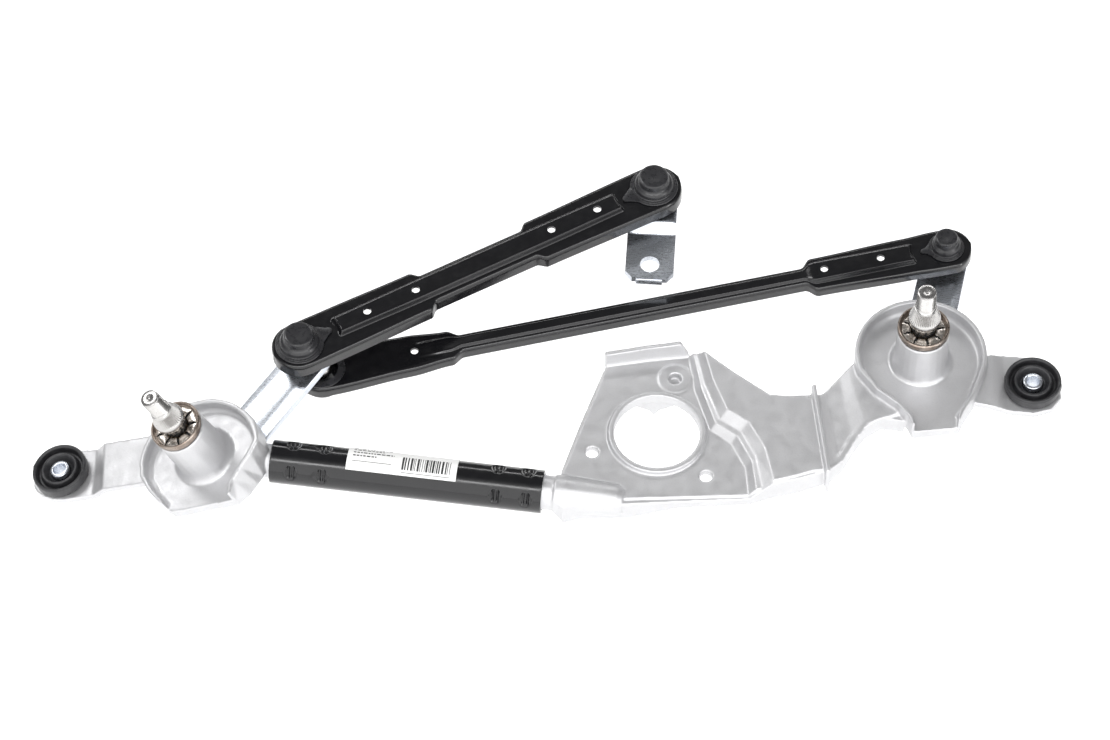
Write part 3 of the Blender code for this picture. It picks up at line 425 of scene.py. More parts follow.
def eased(profile, radius, closed=False):
    """Profile points with each corner rounded off."""
    points = [np.array(p, float) for p in profile]
    size = len(points)
    drawn = []
    for i, corner in enumerate(points):
        if not closed and i in (0, size - 1):
            drawn.append(tuple(corner))
            continue
        before = points[i - 1] - corner
        after = points[(i + 1) % size] - corner
        near, far = np.linalg.norm(before), np.linalg.norm(after)
        cosine = before @ after / (near * far)
        if cosine < -0.97:
            drawn.append(tuple(corner))
            continue
        reach = min(radius, 0.45 * near, 0.45 * far)
        start = corner + before / near * reach
        end = corner + after / far * reach
        for k in range(EASE_STEPS + 1):
            t = k / EASE_STEPS
            drawn.append(tuple((1 - t) ** 2 * start + 2 * t * (1 - t) * corner + t * t * end))
    return [(max(r, 0.0), z) for r, z in drawn]


def lathe_mesh(name, profile, place, closed, steps, shift):
    """Turns (radius, height) points about z. shift(radius, height, angle) moves a point out."""
    points, faces, rings = [], [], []
    angles = [2.0 * math.pi * k / steps for k in range(steps)]
    for r, z in profile:
        if r < 1e-4:
            rings.append([len(points)])
            points.append((0.0, 0.0, z))
            continue
        rings.append(list(range(len(points), len(points) + steps)))
        for a in angles:
            out = r + (shift(r, z, a) if shift else 0.0)
            points.append((out * math.cos(a), out * math.sin(a), z))
    pairs = list(zip(rings, rings[1:])) + ([(rings[-1], rings[0])] if closed else [])
    for one, two in pairs:
        for k in range(steps):
            n = (k + 1) % steps
            corners = [one[k % len(one)], two[k % len(two)], two[n % len(two)], one[n % len(one)]]
            face = list(dict.fromkeys(corners))
            if len(face) > 2:
                faces.append(face)
    return new_mesh(name, points, faces, place)


def lathe(
    name, profile, place, material=None, closed=False, steps=96, shift=None, ease=0.3, sharp=SHARP
):
    """A turned object, its profile's corners eased."""
    rounded = eased(profile, ease, closed) if ease else profile
    mesh = lathe_mesh(name, rounded, place, closed, steps, shift)
    made = add(name, mesh, material)
    shade(mesh, sharp)
    return made


def ring(name, outer, inner, top, bottom, place, material, ease=0.3):
    profile = [(outer, top), (outer, bottom), (inner, bottom), (inner, top)]
    return lathe(name, profile, place, material, closed=True, ease=ease)


def rod(name, radius, top, bottom, place):
    profile = [(0.0, top), (radius, top), (radius, bottom), (0.0, bottom)]
    return lathe(name, profile, place, steps=CIRCLE_STEPS, ease=0)


def slab(name, outline, top, bottom, place, holes=(), material=None):
    """A flat outline between two heights, with holes through it."""
    curve = bpy.data.curves.new(name, "CURVE")
    curve.dimensions = "2D"
    curve.fill_mode = "BOTH"
    curve.extrude = 0.5 * (top - bottom)
    for loop in (outline, *holes):
        spline = curve.splines.new("POLY")
        spline.points.add(len(loop) - 1)
        for point, (x, y) in zip(spline.points, loop):
            point.co = (x, y, 0.0, 1.0)
        spline.use_cyclic_u = True
    drawn = bpy.data.objects.new(name + "_curve", curve)
    bpy.context.scene.collection.objects.link(drawn)
    graph = bpy.context.evaluated_depsgraph_get()
    mesh = bpy.data.meshes.new_from_object(drawn.evaluated_get(graph))
    bpy.data.objects.remove(drawn)
    solid = bmesh.new()
    solid.from_mesh(mesh)
    bmesh.ops.remove_doubles(solid, verts=solid.verts, dist=1e-4)
    bmesh.ops.dissolve_limit(solid, angle_limit=0.01, verts=solid.verts, edges=solid.edges)
    bmesh.ops.recalc_face_normals(solid, faces=solid.faces)
    bmesh.ops.translate(solid, verts=solid.verts, vec=(0.0, 0.0, 0.5 * (top + bottom)))
    bmesh.ops.transform(solid, matrix=Matrix.Scale(MM, 4) @ place, verts=solid.verts)
    solid.to_mesh(mesh)
    solid.free()
    return add(name, mesh, material)


def box(name, low, high, place):
    (x0, y0, z0), (x1, y1, z1) = low, high
    points = [(x, y, z) for z in (z0, z1) for y in (y0, y1) for x in (x0, x1)]
    faces = [(0, 1, 3, 2), (4, 6, 7, 5), (0, 4, 5, 1), (2, 3, 7, 6), (0, 2, 6, 4), (1, 5, 7, 3)]
    return add(name, new_mesh(name, points, faces, place))


def circle(centre, radius):
    turns = [2.0 * math.pi * i / CIRCLE_STEPS for i in range(CIRCLE_STEPS)]
    return [(centre[0] + radius * math.cos(t), centre[1] + radius * math.sin(t)) for t in turns]


def arc(centre, radius, start, end, count):
    """Points on a circle between two angles in degrees."""
    angles = [math.radians(start + (end - start) * i / (count - 1)) for i in range(count)]
    return [(centre[0] + radius * math.cos(a), centre[1] + radius * math.sin(a)) for a in angles]


def surface(name, rows, thickness, place, material=None, upward=(0.0, 0.0, 1.0)):
    """A grid of points thickened on the side away from upward, as one closed solid."""
    grid = np.asarray(rows, float)
    count, across = grid.shape[:2]
    du = np.gradient(grid, axis=0)
    dv = np.gradient(grid, axis=1)
    normal = np.cross(du, dv)
    normal /= np.linalg.norm(normal, axis=2, keepdims=True) + 1e-12
    middle = normal[count // 2, across // 2]
    if middle @ np.array(upward) < 0:
        normal = -normal
    under = grid - normal * thickness
    points = np.concatenate([grid.reshape(-1, 3), under.reshape(-1, 3)])
    offset = count * across
    faces = []
    for i in range(count - 1):
        for j in range(across - 1):
            a = i * across + j
            top = (a, a + 1, a + 1 + across, a + across)
            faces.append(top)
            faces.append(tuple(v + offset for v in reversed(top)))
    border = [(i * across, (i + 1) * across) for i in range(count - 1)]
    border += [((i + 1) * across - 1, (i + 2) * across - 1) for i in range(count - 1)]
    border += [(j, j + 1) for j in range(across - 1)]
    border += [((count - 1) * across + j, (count - 1) * across + j + 1) for j in range(across - 1)]
    faces += [(a, b, b + offset, a + offset) for a, b in border]
    return add(name, new_mesh(name, points, faces, place), material)


def step(value, low, high):
    """0 below low, 1 above high and smooth between."""
    t = min(1.0, max(0.0, (value - low) / (high - low)))
    return t * t * (3.0 - 2.0 * t)


# ---------------------------------------------------------------- castings


BEAD = 2.6
BEAD_SUNK = 0.8
VOXEL = 0.55
KEPT_SHARE = 0.45


def bead(name, outline, floor, place):
    """A three-sided bead along the foot of a dish's wall, which the remesh blends into a fillet."""
    points = [np.array(p, float) for p in outline]
    count = len(points)
    verts = []
    for i, point in enumerate(points):
        along = points[min(i + 1, count - 1)] - points[max(i - 1, 0)]
        along /= np.linalg.norm(along)
        inward = np.array((-along[1], along[0]))
        outer, inner = point - inward * BEAD_SUNK, point + inward * BEAD
        low, high = floor - BEAD_SUNK, floor + BEAD
        verts += [(*outer, low), (*outer, high), (*inner, low)]
    faces = []
    for i in range(count - 1):
        a, b = 3 * i, 3 * (i + 1)
        for j in range(3):
            k = (j + 1) % 3
            faces.append((a + j, b + j, b + k, a + k))
    faces += [(0, 1, 2), (3 * count - 1, 3 * count - 2, 3 * count - 3)]
    return new_mesh(name, verts, faces, place)


def casting(name, node, extra, passes):
    """A CAD casting remeshed with its bead, so that every edge and corner is rounded as cast."""
    merged = bmesh.new()
    merged.from_mesh(NODES[node].data)
    merged.from_mesh(extra)
    mesh = bpy.data.meshes.new(name)
    merged.to_mesh(mesh)
    merged.free()
    made = add(name, mesh, CAST)
    remesh = made.modifiers.new("remesh", "REMESH")
    remesh.mode = "VOXEL"
    remesh.voxel_size = VOXEL * MM
    relax = made.modifiers.new("relax", "SMOOTH")
    relax.factor = 0.5
    relax.iterations = passes
    thin = made.modifiers.new("thin", "DECIMATE")
    thin.ratio = KEPT_SHARE
    settle(made, 180.0)
    made.data.materials.clear()
    made.data.materials.append(CAST)
    return wear(made, node, "frame")


def left_dish_inside(inset):
    """The foot of the left dish's wall, moved in by inset."""
    points = arc((-0.5, -4.0), 33.6 - inset, 7.0, 173.0, 60)
    return points + [(-33.4 + inset, -8.0), (-28.5 + inset, -17.5), (-22.5 + inset, -25.0)]


def right_dish_inside(inset):
    """The foot of the right dish's wall, moved in by inset."""
    points = [(20.5 - inset, -36.0), (26.5 - inset, -26.0)]
    points += arc((0.0, 0.0), 34.0 - inset, -18.0, 198.0, 64)
    return points + [(-24.0 + inset, -22.5), (-13.5 + inset, -31.5), (-8.0 + inset, -39.0)]


def castings():
    left_bead = bead("left_bead", left_dish_inside(BEAD), -FLOOR_LEFT, LEFT)
    casting("left_pivot_casting", "left_pivot_housing", left_bead, 14)
    right_bead = bead("right_bead", right_dish_inside(BEAD), -FLOOR_RIGHT, RIGHT)
    casting("motor_bracket_casting", "motor_bracket", right_bead, 8)


# ---------------------------------------------------------------- pivots


THREAD_PITCH = 1.25
THREAD_DEPTH = 0.72
KNURL_TEETH = 42
KNURL_DEPTH = 0.55
LEVER_SEAT = 2.3
SHAFT_HOLE = 6.3
BUSH_RADIUS = 8.0
TAB_COUNT = 9
TAB_ROWS = (
    (11.6, -2.0, 4.1),
    (10.5, -1.7, 3.5),
    (9.2, -1.5, 2.7),
    (7.9, -1.75, 2.2),
    (6.5, -2.2, 1.7),
)


def spindle_shift(r, z, a):
    """The thread's groove and the knurl's teeth as shifts of the turned surface."""
    if z > -12.7:
        fade = step(-z, 0.9, 2.2) * step(z, -12.6, -11.4)
        phase = (z / THREAD_PITCH + a / (2.0 * math.pi)) % 1.0
        return -fade * THREAD_DEPTH * abs(2.0 * phase - 1.0)
    if -21.6 < z < -13.8:
        fade = step(z, -21.5, -20.8) * step(-z, 14.0, 14.6)
        phase = (a * KNURL_TEETH / (2.0 * math.pi)) % 1.0
        return -fade * KNURL_DEPTH * abs(2.0 * phase - 1.0)
    return 0.0


def spindle_profile(lever_middle):
    """From the dimpled tip down to the riveted head under the lever."""
    shoulder = lever_middle + LEVER_SEAT
    head = lever_middle - LEVER_SEAT
    top = [(0.0, -0.5), (0.7, -0.45), (1.3, 0.0), (4.0, 0.0), (4.6, -0.3), (4.7, -1.0)]
    top += [(4.35, -1.3), (4.4, -1.6), (4.95, -1.9)]
    thread = [(4.95, -2.0 - 0.125 * k) for k in range(85)]
    neck = [(5.1, -12.7), (5.5, -12.9), (5.55, -13.3), (5.6, -13.7)]
    cone = [(5.65 + 0.155 * k, -13.9 - 0.5 * k) for k in range(16)]
    base = [(8.1, -21.6), (8.15, -22.0), (8.15, -24.7), (7.9, -25.2), (6.2, -25.8), (6.0, -26.2)]
    shaft = [(6.0, shoulder + 0.2), (5.8, shoulder), (5.0, shoulder), (5.0, head), (6.8, head)]
    rivet = [(6.7, head - 0.9), (5.4, head - 1.8), (0.0, head - 2.0)]
    return top + thread + neck + cone + base + shaft + rivet


def spindle(side, floor, place, body):
    name = f"{side}_spindle_shaft"
    profile = spindle_profile(-floor - FLOOR_TO_LEVER)
    steps = 4 * KNURL_TEETH
    made = lathe(name, profile, place, STEEL, False, steps, spindle_shift, ease=0, sharp=42.0)
    wear(made, f"{side}_spindle", body)


def lock_ring(side, place, body):
    """A cupped ring with tabs that bend down to the shaft."""
    top = -TIP_TO_RING
    cup = [(12.6, top), (13.4, top - 0.5), (13.4, top - 3.4), (12.2, top - 3.4), (12.2, top - 3.0)]
    cup += [(11.2, top - 2.7), (11.2, top - 1.7), (11.8, top - 1.2), (12.0, top - 0.3)]
    made = lathe(f"{side}_lock_ring_cup", cup, place, SPRING, closed=True, ease=0.25)
    tabs = bmesh.new()
    for number in range(TAB_COUNT):
        middle = 2.0 * math.pi * (number + 0.5) / TAB_COUNT
        cos, sin = math.cos(middle), math.sin(middle)
        rows = []
        for r, z, half in TAB_ROWS:
            sideways = [half * (0.5 * k - 1.0) for k in range(5)]
            rows.append([(r * cos - y * sin, r * sin + y * cos, top + z) for y in sideways])
        tab = surface(f"{side}_tab_{number}", rows, 0.8, place)
        tabs.from_mesh(tab.data)
        bpy.data.objects.remove(tab)
    mesh = bpy.data.meshes.new(f"{side}_lock_ring_tabs")
    tabs.to_mesh(mesh)
    tabs.free()
    # The tabs take the lighter steel, a painted highlight against the darker cup.
    face = add(f"{side}_lock_ring_tabs", mesh, TAB_HIGHLIGHT)
    bevel(face, 0.18)
    settle(face)
    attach(face, body)
    wear(made, f"{side}_lock_ring", body)


def pivot(side, floor, place, body):
    """A spindle with what sits around it, from its boss's top down to its lever."""
    top = -TIP_TO_RING - 5.0
    lever_top = -floor - FLOOR_TO_LEVER + 2.0
    bottom = lever_top + 2.1
    spindle(side, floor, place, body)
    lock_ring(side, place, body)
    seal = ring(f"{side}_seal", 12.8, 6.4, top + 1.1, top + 0.3, place, RUBBER, 0.25)
    wear(seal, f"{side}_seal_ring", "frame")
    name = f"{side}_bush_upper"
    upper = ring(name, BUSH_RADIUS, SHAFT_HOLE, top - 0.5, top - 12.5, place, BRONZE)
    wear(upper, f"{side}_upper_bush", "frame")
    name = f"{side}_bush_lower"
    lower = ring(name, BUSH_RADIUS, SHAFT_HOLE, bottom + 12.5, bottom + 0.5, place, BRONZE)
    wear(lower, f"{side}_lower_bush", "frame")
    name = f"{side}_washer"
    washer = ring(name, 10.5, SHAFT_HOLE, lever_top + 1.8, lever_top + 0.3, place, SPRING, 0.2)
    wear(washer, f"{side}_thrust_washer", "frame")


def lever(side, place, body):
    outline = arc((0.0, 0.0), 12.5, 90.0, 270.0, 40)
    outline += arc((LEVER_LENGTH, 0.0), 11.9, -90.0, 90.0, 40)
    holes = [circle((0.0, 0.0), 5.3), circle((LEVER_LENGTH, 0.0), 4.3)]
    made = slab(f"{side}_lever_plate", outline, 2.0, -2.0, place, holes, ZINC)
    bevel(made, 0.45, 3)
    settle(made)
    wear(made, f"{side}_lever", body)


def ball(radius, stop, upward=True, count=22):
    """A ball's profile from its pole to where it has narrowed again to the radius stop."""
    last = math.pi - math.asin(stop / radius)
    angles = [last * i / (count - 1) for i in range(count)]
    points = [(radius * math.sin(a), radius * math.cos(a)) for a in angles]
    points[0] = (0.0, radius)
    return points if upward else [(r, -z) for r, z in reversed(points)]


def collar(neck):
    """A ball stud's profile from its neck down to its seat in the lever's hole."""
    points = [(neck, LEVER_SEAT + 2.4), (neck + 0.5, LEVER_SEAT + 2.1), (6.2, LEVER_SEAT + 2.0)]
    return points + [(6.4, LEVER_SEAT + 1.8), (6.4, LEVER_SEAT), (4.0, LEVER_SEAT)]


def studs():
    under = -LEVER_SEAT
    both = [(r, z + SHORT_BALL_RISE) for r, z in ball(6.0, 3.4)] + collar(3.4)
    both += [(4.0, under), (6.0, under), (6.0, under - 1.7), (5.8, under - 1.9), (3.4, under - 2.1)]
    both += [(r, z - LONG_BALL_DROP) for r, z in ball(5.0, 3.4, upward=False)]
    made = lathe("left_double_stud", both, LEFT_STUD, STEEL, ease=0)
    wear(made, "left_double_ball_stud", "left_rocker")
    single = [(r, z + LONG_BALL_RISE) for r, z in ball(4.0, 3.2)] + collar(3.2)
    single += [(4.0, under), (5.8, under), (5.6, under - 0.8), (4.8, under - 1.5)]
    single += [(0.0, under - 1.7)]
    made = lathe("right_stud", single, RIGHT_STUD, STEEL, ease=0)
    wear(made, "right_ball_stud", "right_rocker")


# ---------------------------------------------------------------- links


WEB = 1.6
WEB_SEAT = 0.5 * WEB + 0.3
BIG_CAVITY = 8.7
END_TURNS = (0.0, 6.0, 12.0, 20.0, 28.0, 36.0, 45.0, 54.0, 63.0, 72.0)
CAP_OUTSIDE = (
    *((0.0, 10.5), (1.6, 10.55), (3.6, 10.75), (6.6, 10.8), (7.4, 10.5), (7.8, 9.8), (7.9, 6.9)),
    *((8.3, 6.3), (9.2, 5.7), (9.9, 4.9), (10.1, 4.1), (10.1, 2.9), (10.5, 2.5), (11.4, 2.45)),
    *((11.5, 2.1), (12.3, 2.05), (12.6, 1.7), (12.6, WEB_SEAT), (10.7, WEB_SEAT)),
    *((10.7, -WEB_SEAT), (11.5, -WEB_SEAT), (11.5, -WEB_SEAT - 1.2), (10.8, -3.0), (10.6, -5.5)),
)


def blended(stations, x):
    """The stations' values at x, smooth between them."""
    if x <= stations[0][0]:
        return stations[0][1:]
    for one, two in zip(stations, stations[1:]):
        if x <= two[0]:
            t = step(x, one[0], two[0])
            return tuple(a + (b - a) * t for a, b in zip(one[1:], two[1:]))
    return stations[-1][1:]


def link_row(x, half, flange, rib, height, ends, rib_clear):
    """One cross-section of a stamped channel. The rib stops on a circle around each end's ball."""
    top = 0.5 * WEB
    bend = min(2.1, 0.8 * half)
    flat = half - bend
    foot = min(rib + 1.5, flat)
    crest = min(rib, max(0.0, foot - 1.2))
    side = [(half, -flange), (half, -0.6 * flange), (half, -0.3 * flange)]
    for k in range(7):
        a = 0.5 * math.pi * k / 6.0
        side.append((half - bend + bend * math.cos(a), top - bend + bend * math.sin(a)))
    for k in range(1, 4):
        side.append((flat + (foot - flat) * k / 4.0, top))
    for k in range(9):
        t = k / 8.0
        side.append((foot + (crest - foot) * t, top + height * t * t * (3.0 - 2.0 * t)))
    for k in range(1, 4):
        side.append((crest * (1.0 - k / 3.5), top + height))
    row = [(x, -y, z) for y, z in side] + [(x, 0.0, top + height)]
    row += [(x, y, z) for y, z in reversed(side)]
    shaped = []
    for px, py, pz in row:
        if pz > top and height > 0.0:
            reach = min(math.hypot(px - e, py) for e in ends)
            pz = top + (pz - top) * step(reach, rib_clear, rib_clear + 1.8)
        shaped.append((px, py, pz))
    return shaped


def link_rows(stations, length, radius, flange, rib_clear):
    """A channel's cross-sections from one rounded end to the other, closer where the rib stops."""
    ends = (0.0, length)

    def across(x, half, depth, rib, height):
        return link_row(x, half, depth, rib, height, ends, rib_clear)

    def rounded(turn, middle, outward):
        a = math.radians(turn)
        half = max(0.3, radius * math.sin(a))
        return across(middle + outward * radius * math.cos(a), half, flange, 0.5, 0.0)

    rows = [rounded(turn, 0.0, -1.0) for turn in END_TURNS]
    x = 0.0
    while x < length + 1e-6:
        rows.append(across(x, *blended(stations, x)))
        near = min(abs(x - rib_clear), abs(length - x - rib_clear)) < 4.0
        x += 0.35 if near else 1.25
    rows.append(across(length, *blended(stations, length)))
    return rows + [rounded(turn, length, 1.0) for turn in reversed(END_TURNS)]


def link(name, stations, length, radius, flange, rib_clear, holes, place, node, body):
    """A stamped channel. A station is its x, half width, flange depth, rib half width and rise."""
    rows = link_rows(stations, length, radius, flange, rib_clear)
    made = surface(name, rows, WEB, place, ENAMEL)
    cutters = []
    for number, (x, size) in enumerate(holes):
        cutters.append(rod(f"{name}_cut_{number}", size, 8.0, -9.5, place @ moved(x)))
    boolean(made, cutters, solver="MANIFOLD")
    wear(made, node, body)


def socket(name, scale, cavity, toward, place, node, body):
    """A stepped cap and skirt, with the thin tongue of its inner liner on the side toward."""
    outside = [(r * scale, z) for r, z in CAP_OUTSIDE]
    inside = [(cavity + 2.0, -5.5), (cavity, -1.0)]
    inside += reversed(ball(cavity, cavity * 0.999, count=12))
    made = lathe(name, outside + inside, place, PLASTIC, ease=0.22)
    reach = 18.5 * scale
    width = 3.4 * scale
    half = [(11.0 * scale, 5.6 * scale), (reach - 3.0, width * 0.72), (reach - 0.6, width * 0.42)]
    outline = [(toward * x, -y) for x, y in half] + [(toward * reach, 0.0)]
    outline += [(toward * x, y) for x, y in reversed(half)]
    tongue = slab(name + "_tongue", outline, 2.3, 1.1, place)
    bevel(tongue, 0.3)
    settle(tongue)
    boolean(made, [tongue], "UNION")
    wear(made, node, body)


def open_socket():
    """The cup that hangs under the long link's left end, open upwards to the ball."""
    far = LONG @ moved(LONG_LENGTH)
    rim = WEB_SEAT + 1.0
    under = -WEB_SEAT
    profile = [(BIG_CAVITY, rim), (12.4, rim), (12.4, WEB_SEAT), (10.7, WEB_SEAT), (10.7, under)]
    profile += [(11.1, under), (11.1, under - 1.2), (10.9, -4.0), (10.9, -9.6), (9.6, -11.2)]
    profile += [(0.0, -11.2)]
    hollow = [(0.0, -9.6), (6.0, -8.6), (BIG_CAVITY, -5.4), (BIG_CAVITY, rim)]
    outer = eased(profile, 0.3)
    inner = eased(hollow, 0.3)
    made = lathe("long_link_cup", outer + inner[:-1], far, PLASTIC, ease=0)
    wear(made, "long_link_left_socket", "long_link")


def links():
    short = [
        (4.0, 14.4, 7.0, 4.6, 3.0),
        (19.0, 14.2, 7.0, 4.6, 3.0),
        (69.0, 13.4, 7.0, 5.2, 3.0),
        (74.0, 9.6, 7.5, 5.2, 3.0),
        (132.0, 9.6, 7.5, 5.2, 3.0),
        (137.0, 13.4, 7.0, 5.2, 3.0),
        (SHORT_LENGTH - 4.0, 14.4, 7.0, 4.6, 3.0),
    ]
    holes = [(x, 2.1) for x in (39.0, 67.0, 146.0, 173.0)] + [(0.0, 11.1), (SHORT_LENGTH, 11.1)]
    channel = ("short_link_channel", short, SHORT_LENGTH, 14.6, 7.0, 21.0, holes, SHORT)
    link(*channel, "short_link_rod", "short_link")
    socket("short_link_cap_left", 1.0, 6.3, 1, SHORT, "short_link_left_socket", "short_link")
    far = SHORT @ moved(SHORT_LENGTH)
    socket("short_link_cap_right", 1.0, 6.3, -1, far, "short_link_right_socket", "short_link")
    long = [
        (4.0, 12.8, 5.2, 5.0, 2.6),
        (22.0, 12.0, 5.2, 5.0, 2.6),
        (71.0, 10.6, 5.2, 5.4, 2.6),
        (77.0, 5.6, 5.6, 2.2, 1.2),
        (259.0, 5.6, 5.6, 2.2, 1.2),
        (266.0, 9.4, 5.2, 3.6, 0.8),
        (288.0, 11.4, 5.2, 3.6, 0.0),
        (LONG_LENGTH - 4.0, 13.4, 5.2, 4.0, 0.0),
    ]
    holes = [(x, 2.0) for x in (35.3, 65.6, 284.0)] + [(0.0, 8.4), (LONG_LENGTH, 11.1)]
    channel = ("long_link_channel", long, LONG_LENGTH, 13.4, 5.2, 18.0, holes, LONG)
    link(*channel, "long_link_rod", "long_link")
    socket("long_link_cap", 0.75, 4.3, 1, LONG, "long_link_right_socket", "long_link")
    open_socket()


# ---------------------------------------------------------------- crank


CRANK_TOP = -9.0
CRANK_LOW = -14.0
CRANK_THICK = 3.5
CRANK_HALF_WIDTH = 12.6


def crank_height(x):
    return CRANK_TOP + (CRANK_LOW - CRANK_TOP) * step(x, 14.0, 20.5)


def crank():
    """The joggled arm with its three turned-down tabs and two holes, and its ball stud."""
    rows = []
    for turn in (2.0, 10.0, 20.0, 30.0, 40.0, 50.0, 60.0, 70.0, 80.0):
        a = math.radians(turn)
        rows.append((-CRANK_HALF_WIDTH * math.cos(a), CRANK_HALF_WIDTH * math.sin(a)))
    rows += [(x, CRANK_HALF_WIDTH) for x in np.arange(0.0, 44.1, 0.8)]
    rows += [(45.0, 11.6), (46.5, 10.4), (48.0, 9.0)]
    grid = [[(x, half * k / 8.0, crank_height(x)) for k in range(-8, 9)] for x, half in rows]
    made = surface("crank_plate", grid, CRANK_THICK, CRANK, ZINC)
    tab_top = CRANK_LOW - 1.0
    centre_tab = box("crank_tab", (45.0, -7.0, CRANK_LOW - 5.4), (48.4, 7.0, tab_top), CRANK)
    bevel(centre_tab, 0.6, 3)
    settle(centre_tab)
    tabs = [centre_tab]
    for side in (-1.0, 1.0):
        inner, outer = sorted((side * 9.6, side * 12.4))
        low, high = (38.2, inner, CRANK_LOW - 5.3), (43.6, outer, tab_top)
        tab = box(f"crank_corner_{side}", low, high, CRANK)
        bevel(tab, 0.5, 2)
        settle(tab)
        tabs.append(tab)
    boolean(made, tabs, "UNION")
    bore = rod("crank_bore", 5.0, 0.0, -40.0, CRANK @ moved(39.0))
    boolean(made, [bore, rod("crank_seat", 4.3, 0.0, -40.0, CRANK)])
    bevel(made, 0.35, 2, 50.0)
    settle(made)
    wear(made, "crank_arm", "crank")
    seat = CRANK_TOP + 0.3
    under = CRANK_TOP - CRANK_THICK - 0.3
    profile = ball(6.0, 3.4) + [(3.4, seat + 2.2), (6.3, seat + 2.0), (6.4, seat + 1.8)]
    profile += [(6.4, seat), (4.0, seat), (4.0, under), (5.8, under)]
    profile += [(5.6, under - 0.8), (4.8, under - 1.4), (0.0, under - 1.6)]
    wear(lathe("crank_stud", profile, CRANK, STEEL, ease=0), "crank_ball_stud", "crank")


# ---------------------------------------------------------------- tube and label


TUBE_RADIUS = 11.1
TUBE_BORE = 9.4
CRIMP_DEPTH = 1.6
CRIMP_PLACES = (11.2, 27.2, TUBE_LENGTH - 23.4, TUBE_LENGTH - 7.9)
CRIMP_TURNS = (-28.0, 62.0, 152.0, 242.0)


def crimp_depth(z, turn):
    """How far the tube's outside is pressed in: round pockets with low ridges left in each."""
    deepest = 0.0
    for place in CRIMP_PLACES:
        along = abs(z - place)
        if along > 4.4:
            continue
        for centre in CRIMP_TURNS:
            around = abs((turn - centre + 180.0) % 360.0 - 180.0) * math.pi / 180.0 * TUBE_RADIUS
            if around > 5.6:
                continue
            pocket = 1.0 - step(math.hypot(along / 3.9, around / 5.0), 0.68, 1.0)
            ridges = 0.45 + 0.55 * (0.5 - 0.5 * math.cos(2.0 * math.pi * (z - place) / 2.4))
            deepest = max(deepest, CRIMP_DEPTH * pocket * ridges)
    return deepest


def tube():
    """The tube, with cross-sections close together at the crimps."""
    stops = [0.0, 0.3]
    z = 0.6
    while z < TUBE_LENGTH - 0.5:
        stops.append(z)
        near = min(abs(z - place) for place in CRIMP_PLACES) < 4.8
        z += 0.35 if near else 2.0
    stops += [TUBE_LENGTH - 0.3, TUBE_LENGTH]
    outer = [(TUBE_RADIUS - (0.25 if z in (0.0, TUBE_LENGTH) else 0.0), z) for z in reversed(stops)]
    inner = [(TUBE_BORE, 0.0), (TUBE_BORE, TUBE_LENGTH)]

    def shift(r, height, a):
        if r < TUBE_BORE + 0.5:
            return 0.0
        return -crimp_depth(height, math.degrees(a) + 90.0)

    profile = outer + inner
    made = lathe("cross_tube_crimped", profile, TUBE, ENAMEL, True, 180, shift, ease=0, sharp=50.0)
    wear(made, "cross_tube", "frame")


def tube_point(turn, z, radius):
    """A point on the tube at an angle above the horizontal on its front side."""
    a = math.radians(turn - 90.0)
    return (radius * math.cos(a), -radius * math.sin(a), z)


def patch(name, turns, ends, radius, thickness, material=None):
    """A thin sheet laid round the tube between two of its heights."""
    rows = [[tube_point(t, z, radius) for z in ends] for t in turns]
    up = Vector(tube_point(0.5 * (turns[0] + turns[-1]), 0.0, 1.0))
    return surface(name, rows, thickness, TUBE, material, upward=tuple(up))


def label():
    """The paper and its made-up print: a bar pattern, four rows of dashes and two rules."""
    turns, ends = list(np.linspace(57.0, 169.0, 32)), list(np.linspace(39.2, 95.8, 12))
    made = patch("tube_label_paper", turns, ends, TUBE_RADIUS + 0.35, 0.15, PAPER)
    settle(made)
    wear(made, "tube_label", "frame")
    inked = bmesh.new()
    prints = []
    random = np.random.default_rng(7)
    z = 67.5
    while z < 92.6:
        wide = float(random.choice([0.35, 0.35, 0.7, 1.05]))
        prints.append((72.0, 112.0, z, z + wide))
        z += wide + float(random.choice([0.4, 0.4, 0.8]))
    for end, turn in ((62.0, 138.0), (58.0, 126.0), (63.0, 114.0), (54.0, 102.0)):
        z = 42.0
        while z < end:
            wide = float(random.choice([0.9, 1.3, 1.9]))
            prints.append((turn - 4.0, turn, z, min(z + wide, end)))
            z += wide + 0.55
    for start, end, low, high in ((42.0, 62.0, 82.0, 83.5), (67.5, 92.6, 64.0, 65.5)):
        prints.append((low, high, start, end))
    for low, high, one, two in prints:
        turns = list(np.linspace(low, high, 6))
        strip = patch("strip", turns, [one, two], TUBE_RADIUS + 0.39, 0.04)
        inked.from_mesh(strip.data)
        bpy.data.objects.remove(strip)
    mesh = bpy.data.meshes.new("tube_label_print")
    inked.to_mesh(mesh)
    inked.free()
    printed = add("tube_label_print", mesh, INK)
    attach(printed, "frame")


# ---------------------------------------------------------------- grommets


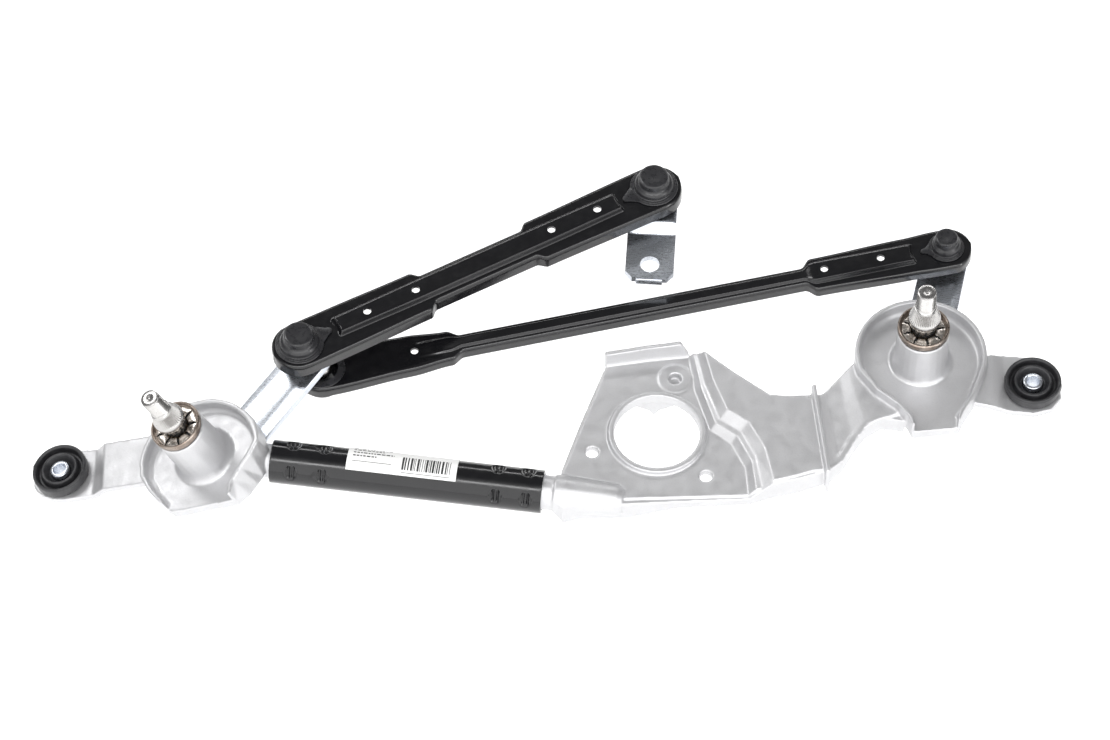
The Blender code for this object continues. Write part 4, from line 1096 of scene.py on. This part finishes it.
def grommet(side, place):
    """A rubber bush with a deep groove between two raised rings, gripping both sides of the lug."""
    profile = [(12.9, 8.4), (13.5, 8.8), (14.1, 8.6), (14.6, 7.7), (14.6, 3.4), (14.2, 2.5)]
    profile += [(13.8, 2.1), (9.9, 2.1), (9.9, -2.1), (13.0, -2.1), (13.5, -2.7), (13.4, -3.8)]
    profile += [(12.8, -5.4), (12.0, -6.2), (5.2, -6.2), (5.2, 4.2), (5.8, 4.6), (6.6, 5.0)]
    profile += [(7.8, 7.0), (8.2, 7.9), (8.8, 8.3), (9.5, 8.2), (9.9, 7.5), (10.2, 5.0)]
    profile += [(10.8, 4.5), (11.8, 4.5), (12.3, 5.2), (12.5, 7.7)]

    def notched(r, z, a):
        if r < 13.0 or z < 0.0:
            return 0.0
        seam = abs((math.degrees(a) + 12.0 + 90.0) % 180.0 - 90.0)
        return 0.35 * (1.0 - step(seam, 1.5, 4.5))

    made = lathe(f"{side}_grommet_rubber", profile, place, RUBBER, True, 120, notched, 0.35)
    wear(made, f"{side}_grommet", "frame")
    sleeve = [(4.5, 7.6), (4.9, 7.3), (4.9, -6.3), (4.6, -6.6), (3.7, -6.6), (3.4, -6.3)]
    sleeve += [(3.4, 7.3), (3.7, 7.6)]
    made = lathe(f"{side}_sleeve", sleeve, place, ZINC, True, ease=0)
    wear(made, f"{side}_grommet_sleeve", "frame")


# ---------------------------------------------------------------- stage


def area(name, place, target, size, power):
    light = bpy.data.lights.new(name, "AREA")
    light.shape = "RECTANGLE"
    light.size, light.size_y = size
    light.energy = power
    made = bpy.data.objects.new(name, light)
    bpy.context.scene.collection.objects.link(made)
    made.location = place
    made.rotation_euler = (Vector(target) - Vector(place)).to_track_quat("-Z", "Y").to_euler()


FLOOR_ROOM = 55.0
FLOOR_REACH = 6000.0


def studio():
    """A pale floor, low enough for the free link at every pose, and soft light from all round."""
    scene = bpy.context.scene
    scene.view_settings.view_transform = "Standard"
    scene.view_settings.look = "None"
    world = bpy.data.worlds.new("studio_air")
    world.use_nodes = True
    nodes = world.node_tree.nodes
    links = world.node_tree.links
    way = nodes.new("ShaderNodeTexCoord").outputs["Generated"]
    split = nodes.new("ShaderNodeSeparateXYZ")
    fall = nodes.new("ShaderNodeMapRange")
    fall.interpolation_type = "SMOOTHSTEP"
    set_range(fall, -0.75, 0.1, 2.0, 0.18)
    links.new(way, split.inputs["Vector"])
    links.new(split.outputs["Y"], fall.inputs["Value"])
    links.new(fall.outputs["Result"], nodes["Background"].inputs["Strength"])
    nodes["Background"].inputs["Color"].default_value = (1.0, 1.0, 1.0, 1.0)
    scene.world = world
    floor_look = Look("floor_white", (0.93, 0.93, 0.93), 0.9)
    floor_look.clouded(3.0, 2.0, 0.3, 0.7, 1.0, (0.95, 0.95, 0.95))
    floor_look.shader.inputs["Emission Color"].default_value = (1.0, 1.0, 1.0, 1.0)
    floor_look.shader.inputs["Emission Strength"].default_value = 0.38
    z = CAD_LOW.z - FLOOR_ROOM * MM
    sides = (-FLOOR_REACH, FLOOR_REACH)
    points = [(x, y, z / MM) for y in sides for x in sides]
    floor = add("floor", new_mesh("floor", points, [(0, 1, 3, 2)]), floor_look.material)
    middle = (-0.19, 0.0, -0.06)
    area("over_camera", (-0.2, -0.9, 1.75), middle, (2.4, 0.3), 16.0)
    area("left_side", (-1.35, 0.75, 1.35), middle, (0.7, 0.7), 10.0)
    area("back_strip", (-0.1, 1.9, 1.25), middle, (2.6, 0.16), 12.0)
    area("right_front", (1.3, -0.9, 0.7), middle, (0.25, 0.9), 5.0)


def camera():
    data = bpy.data.cameras.new("camera")
    data.lens = 168.6
    data.sensor_width = 36.0
    data.clip_end = 30.0
    made = bpy.data.objects.new("camera", data)
    bpy.context.scene.collection.objects.link(made)
    made.location = (-0.188214, -1.5397, 2.1298)
    made.rotation_euler = (math.radians(35.0), 0.0, 0.0)
    bpy.context.scene.camera = made


castings()
pivot("left", FLOOR_LEFT, LEFT, "left_rocker")
pivot("right", FLOOR_RIGHT, RIGHT, "right_rocker")
lever("left", LEFT_LEVER, "left_rocker")
lever("right", RIGHT_LEVER, "right_rocker")
studs()
links()
crank()
tube()
label()
grommet("left", LEFT_MOUNT)
grommet("right", RIGHT_MOUNT)
studio()
camera()
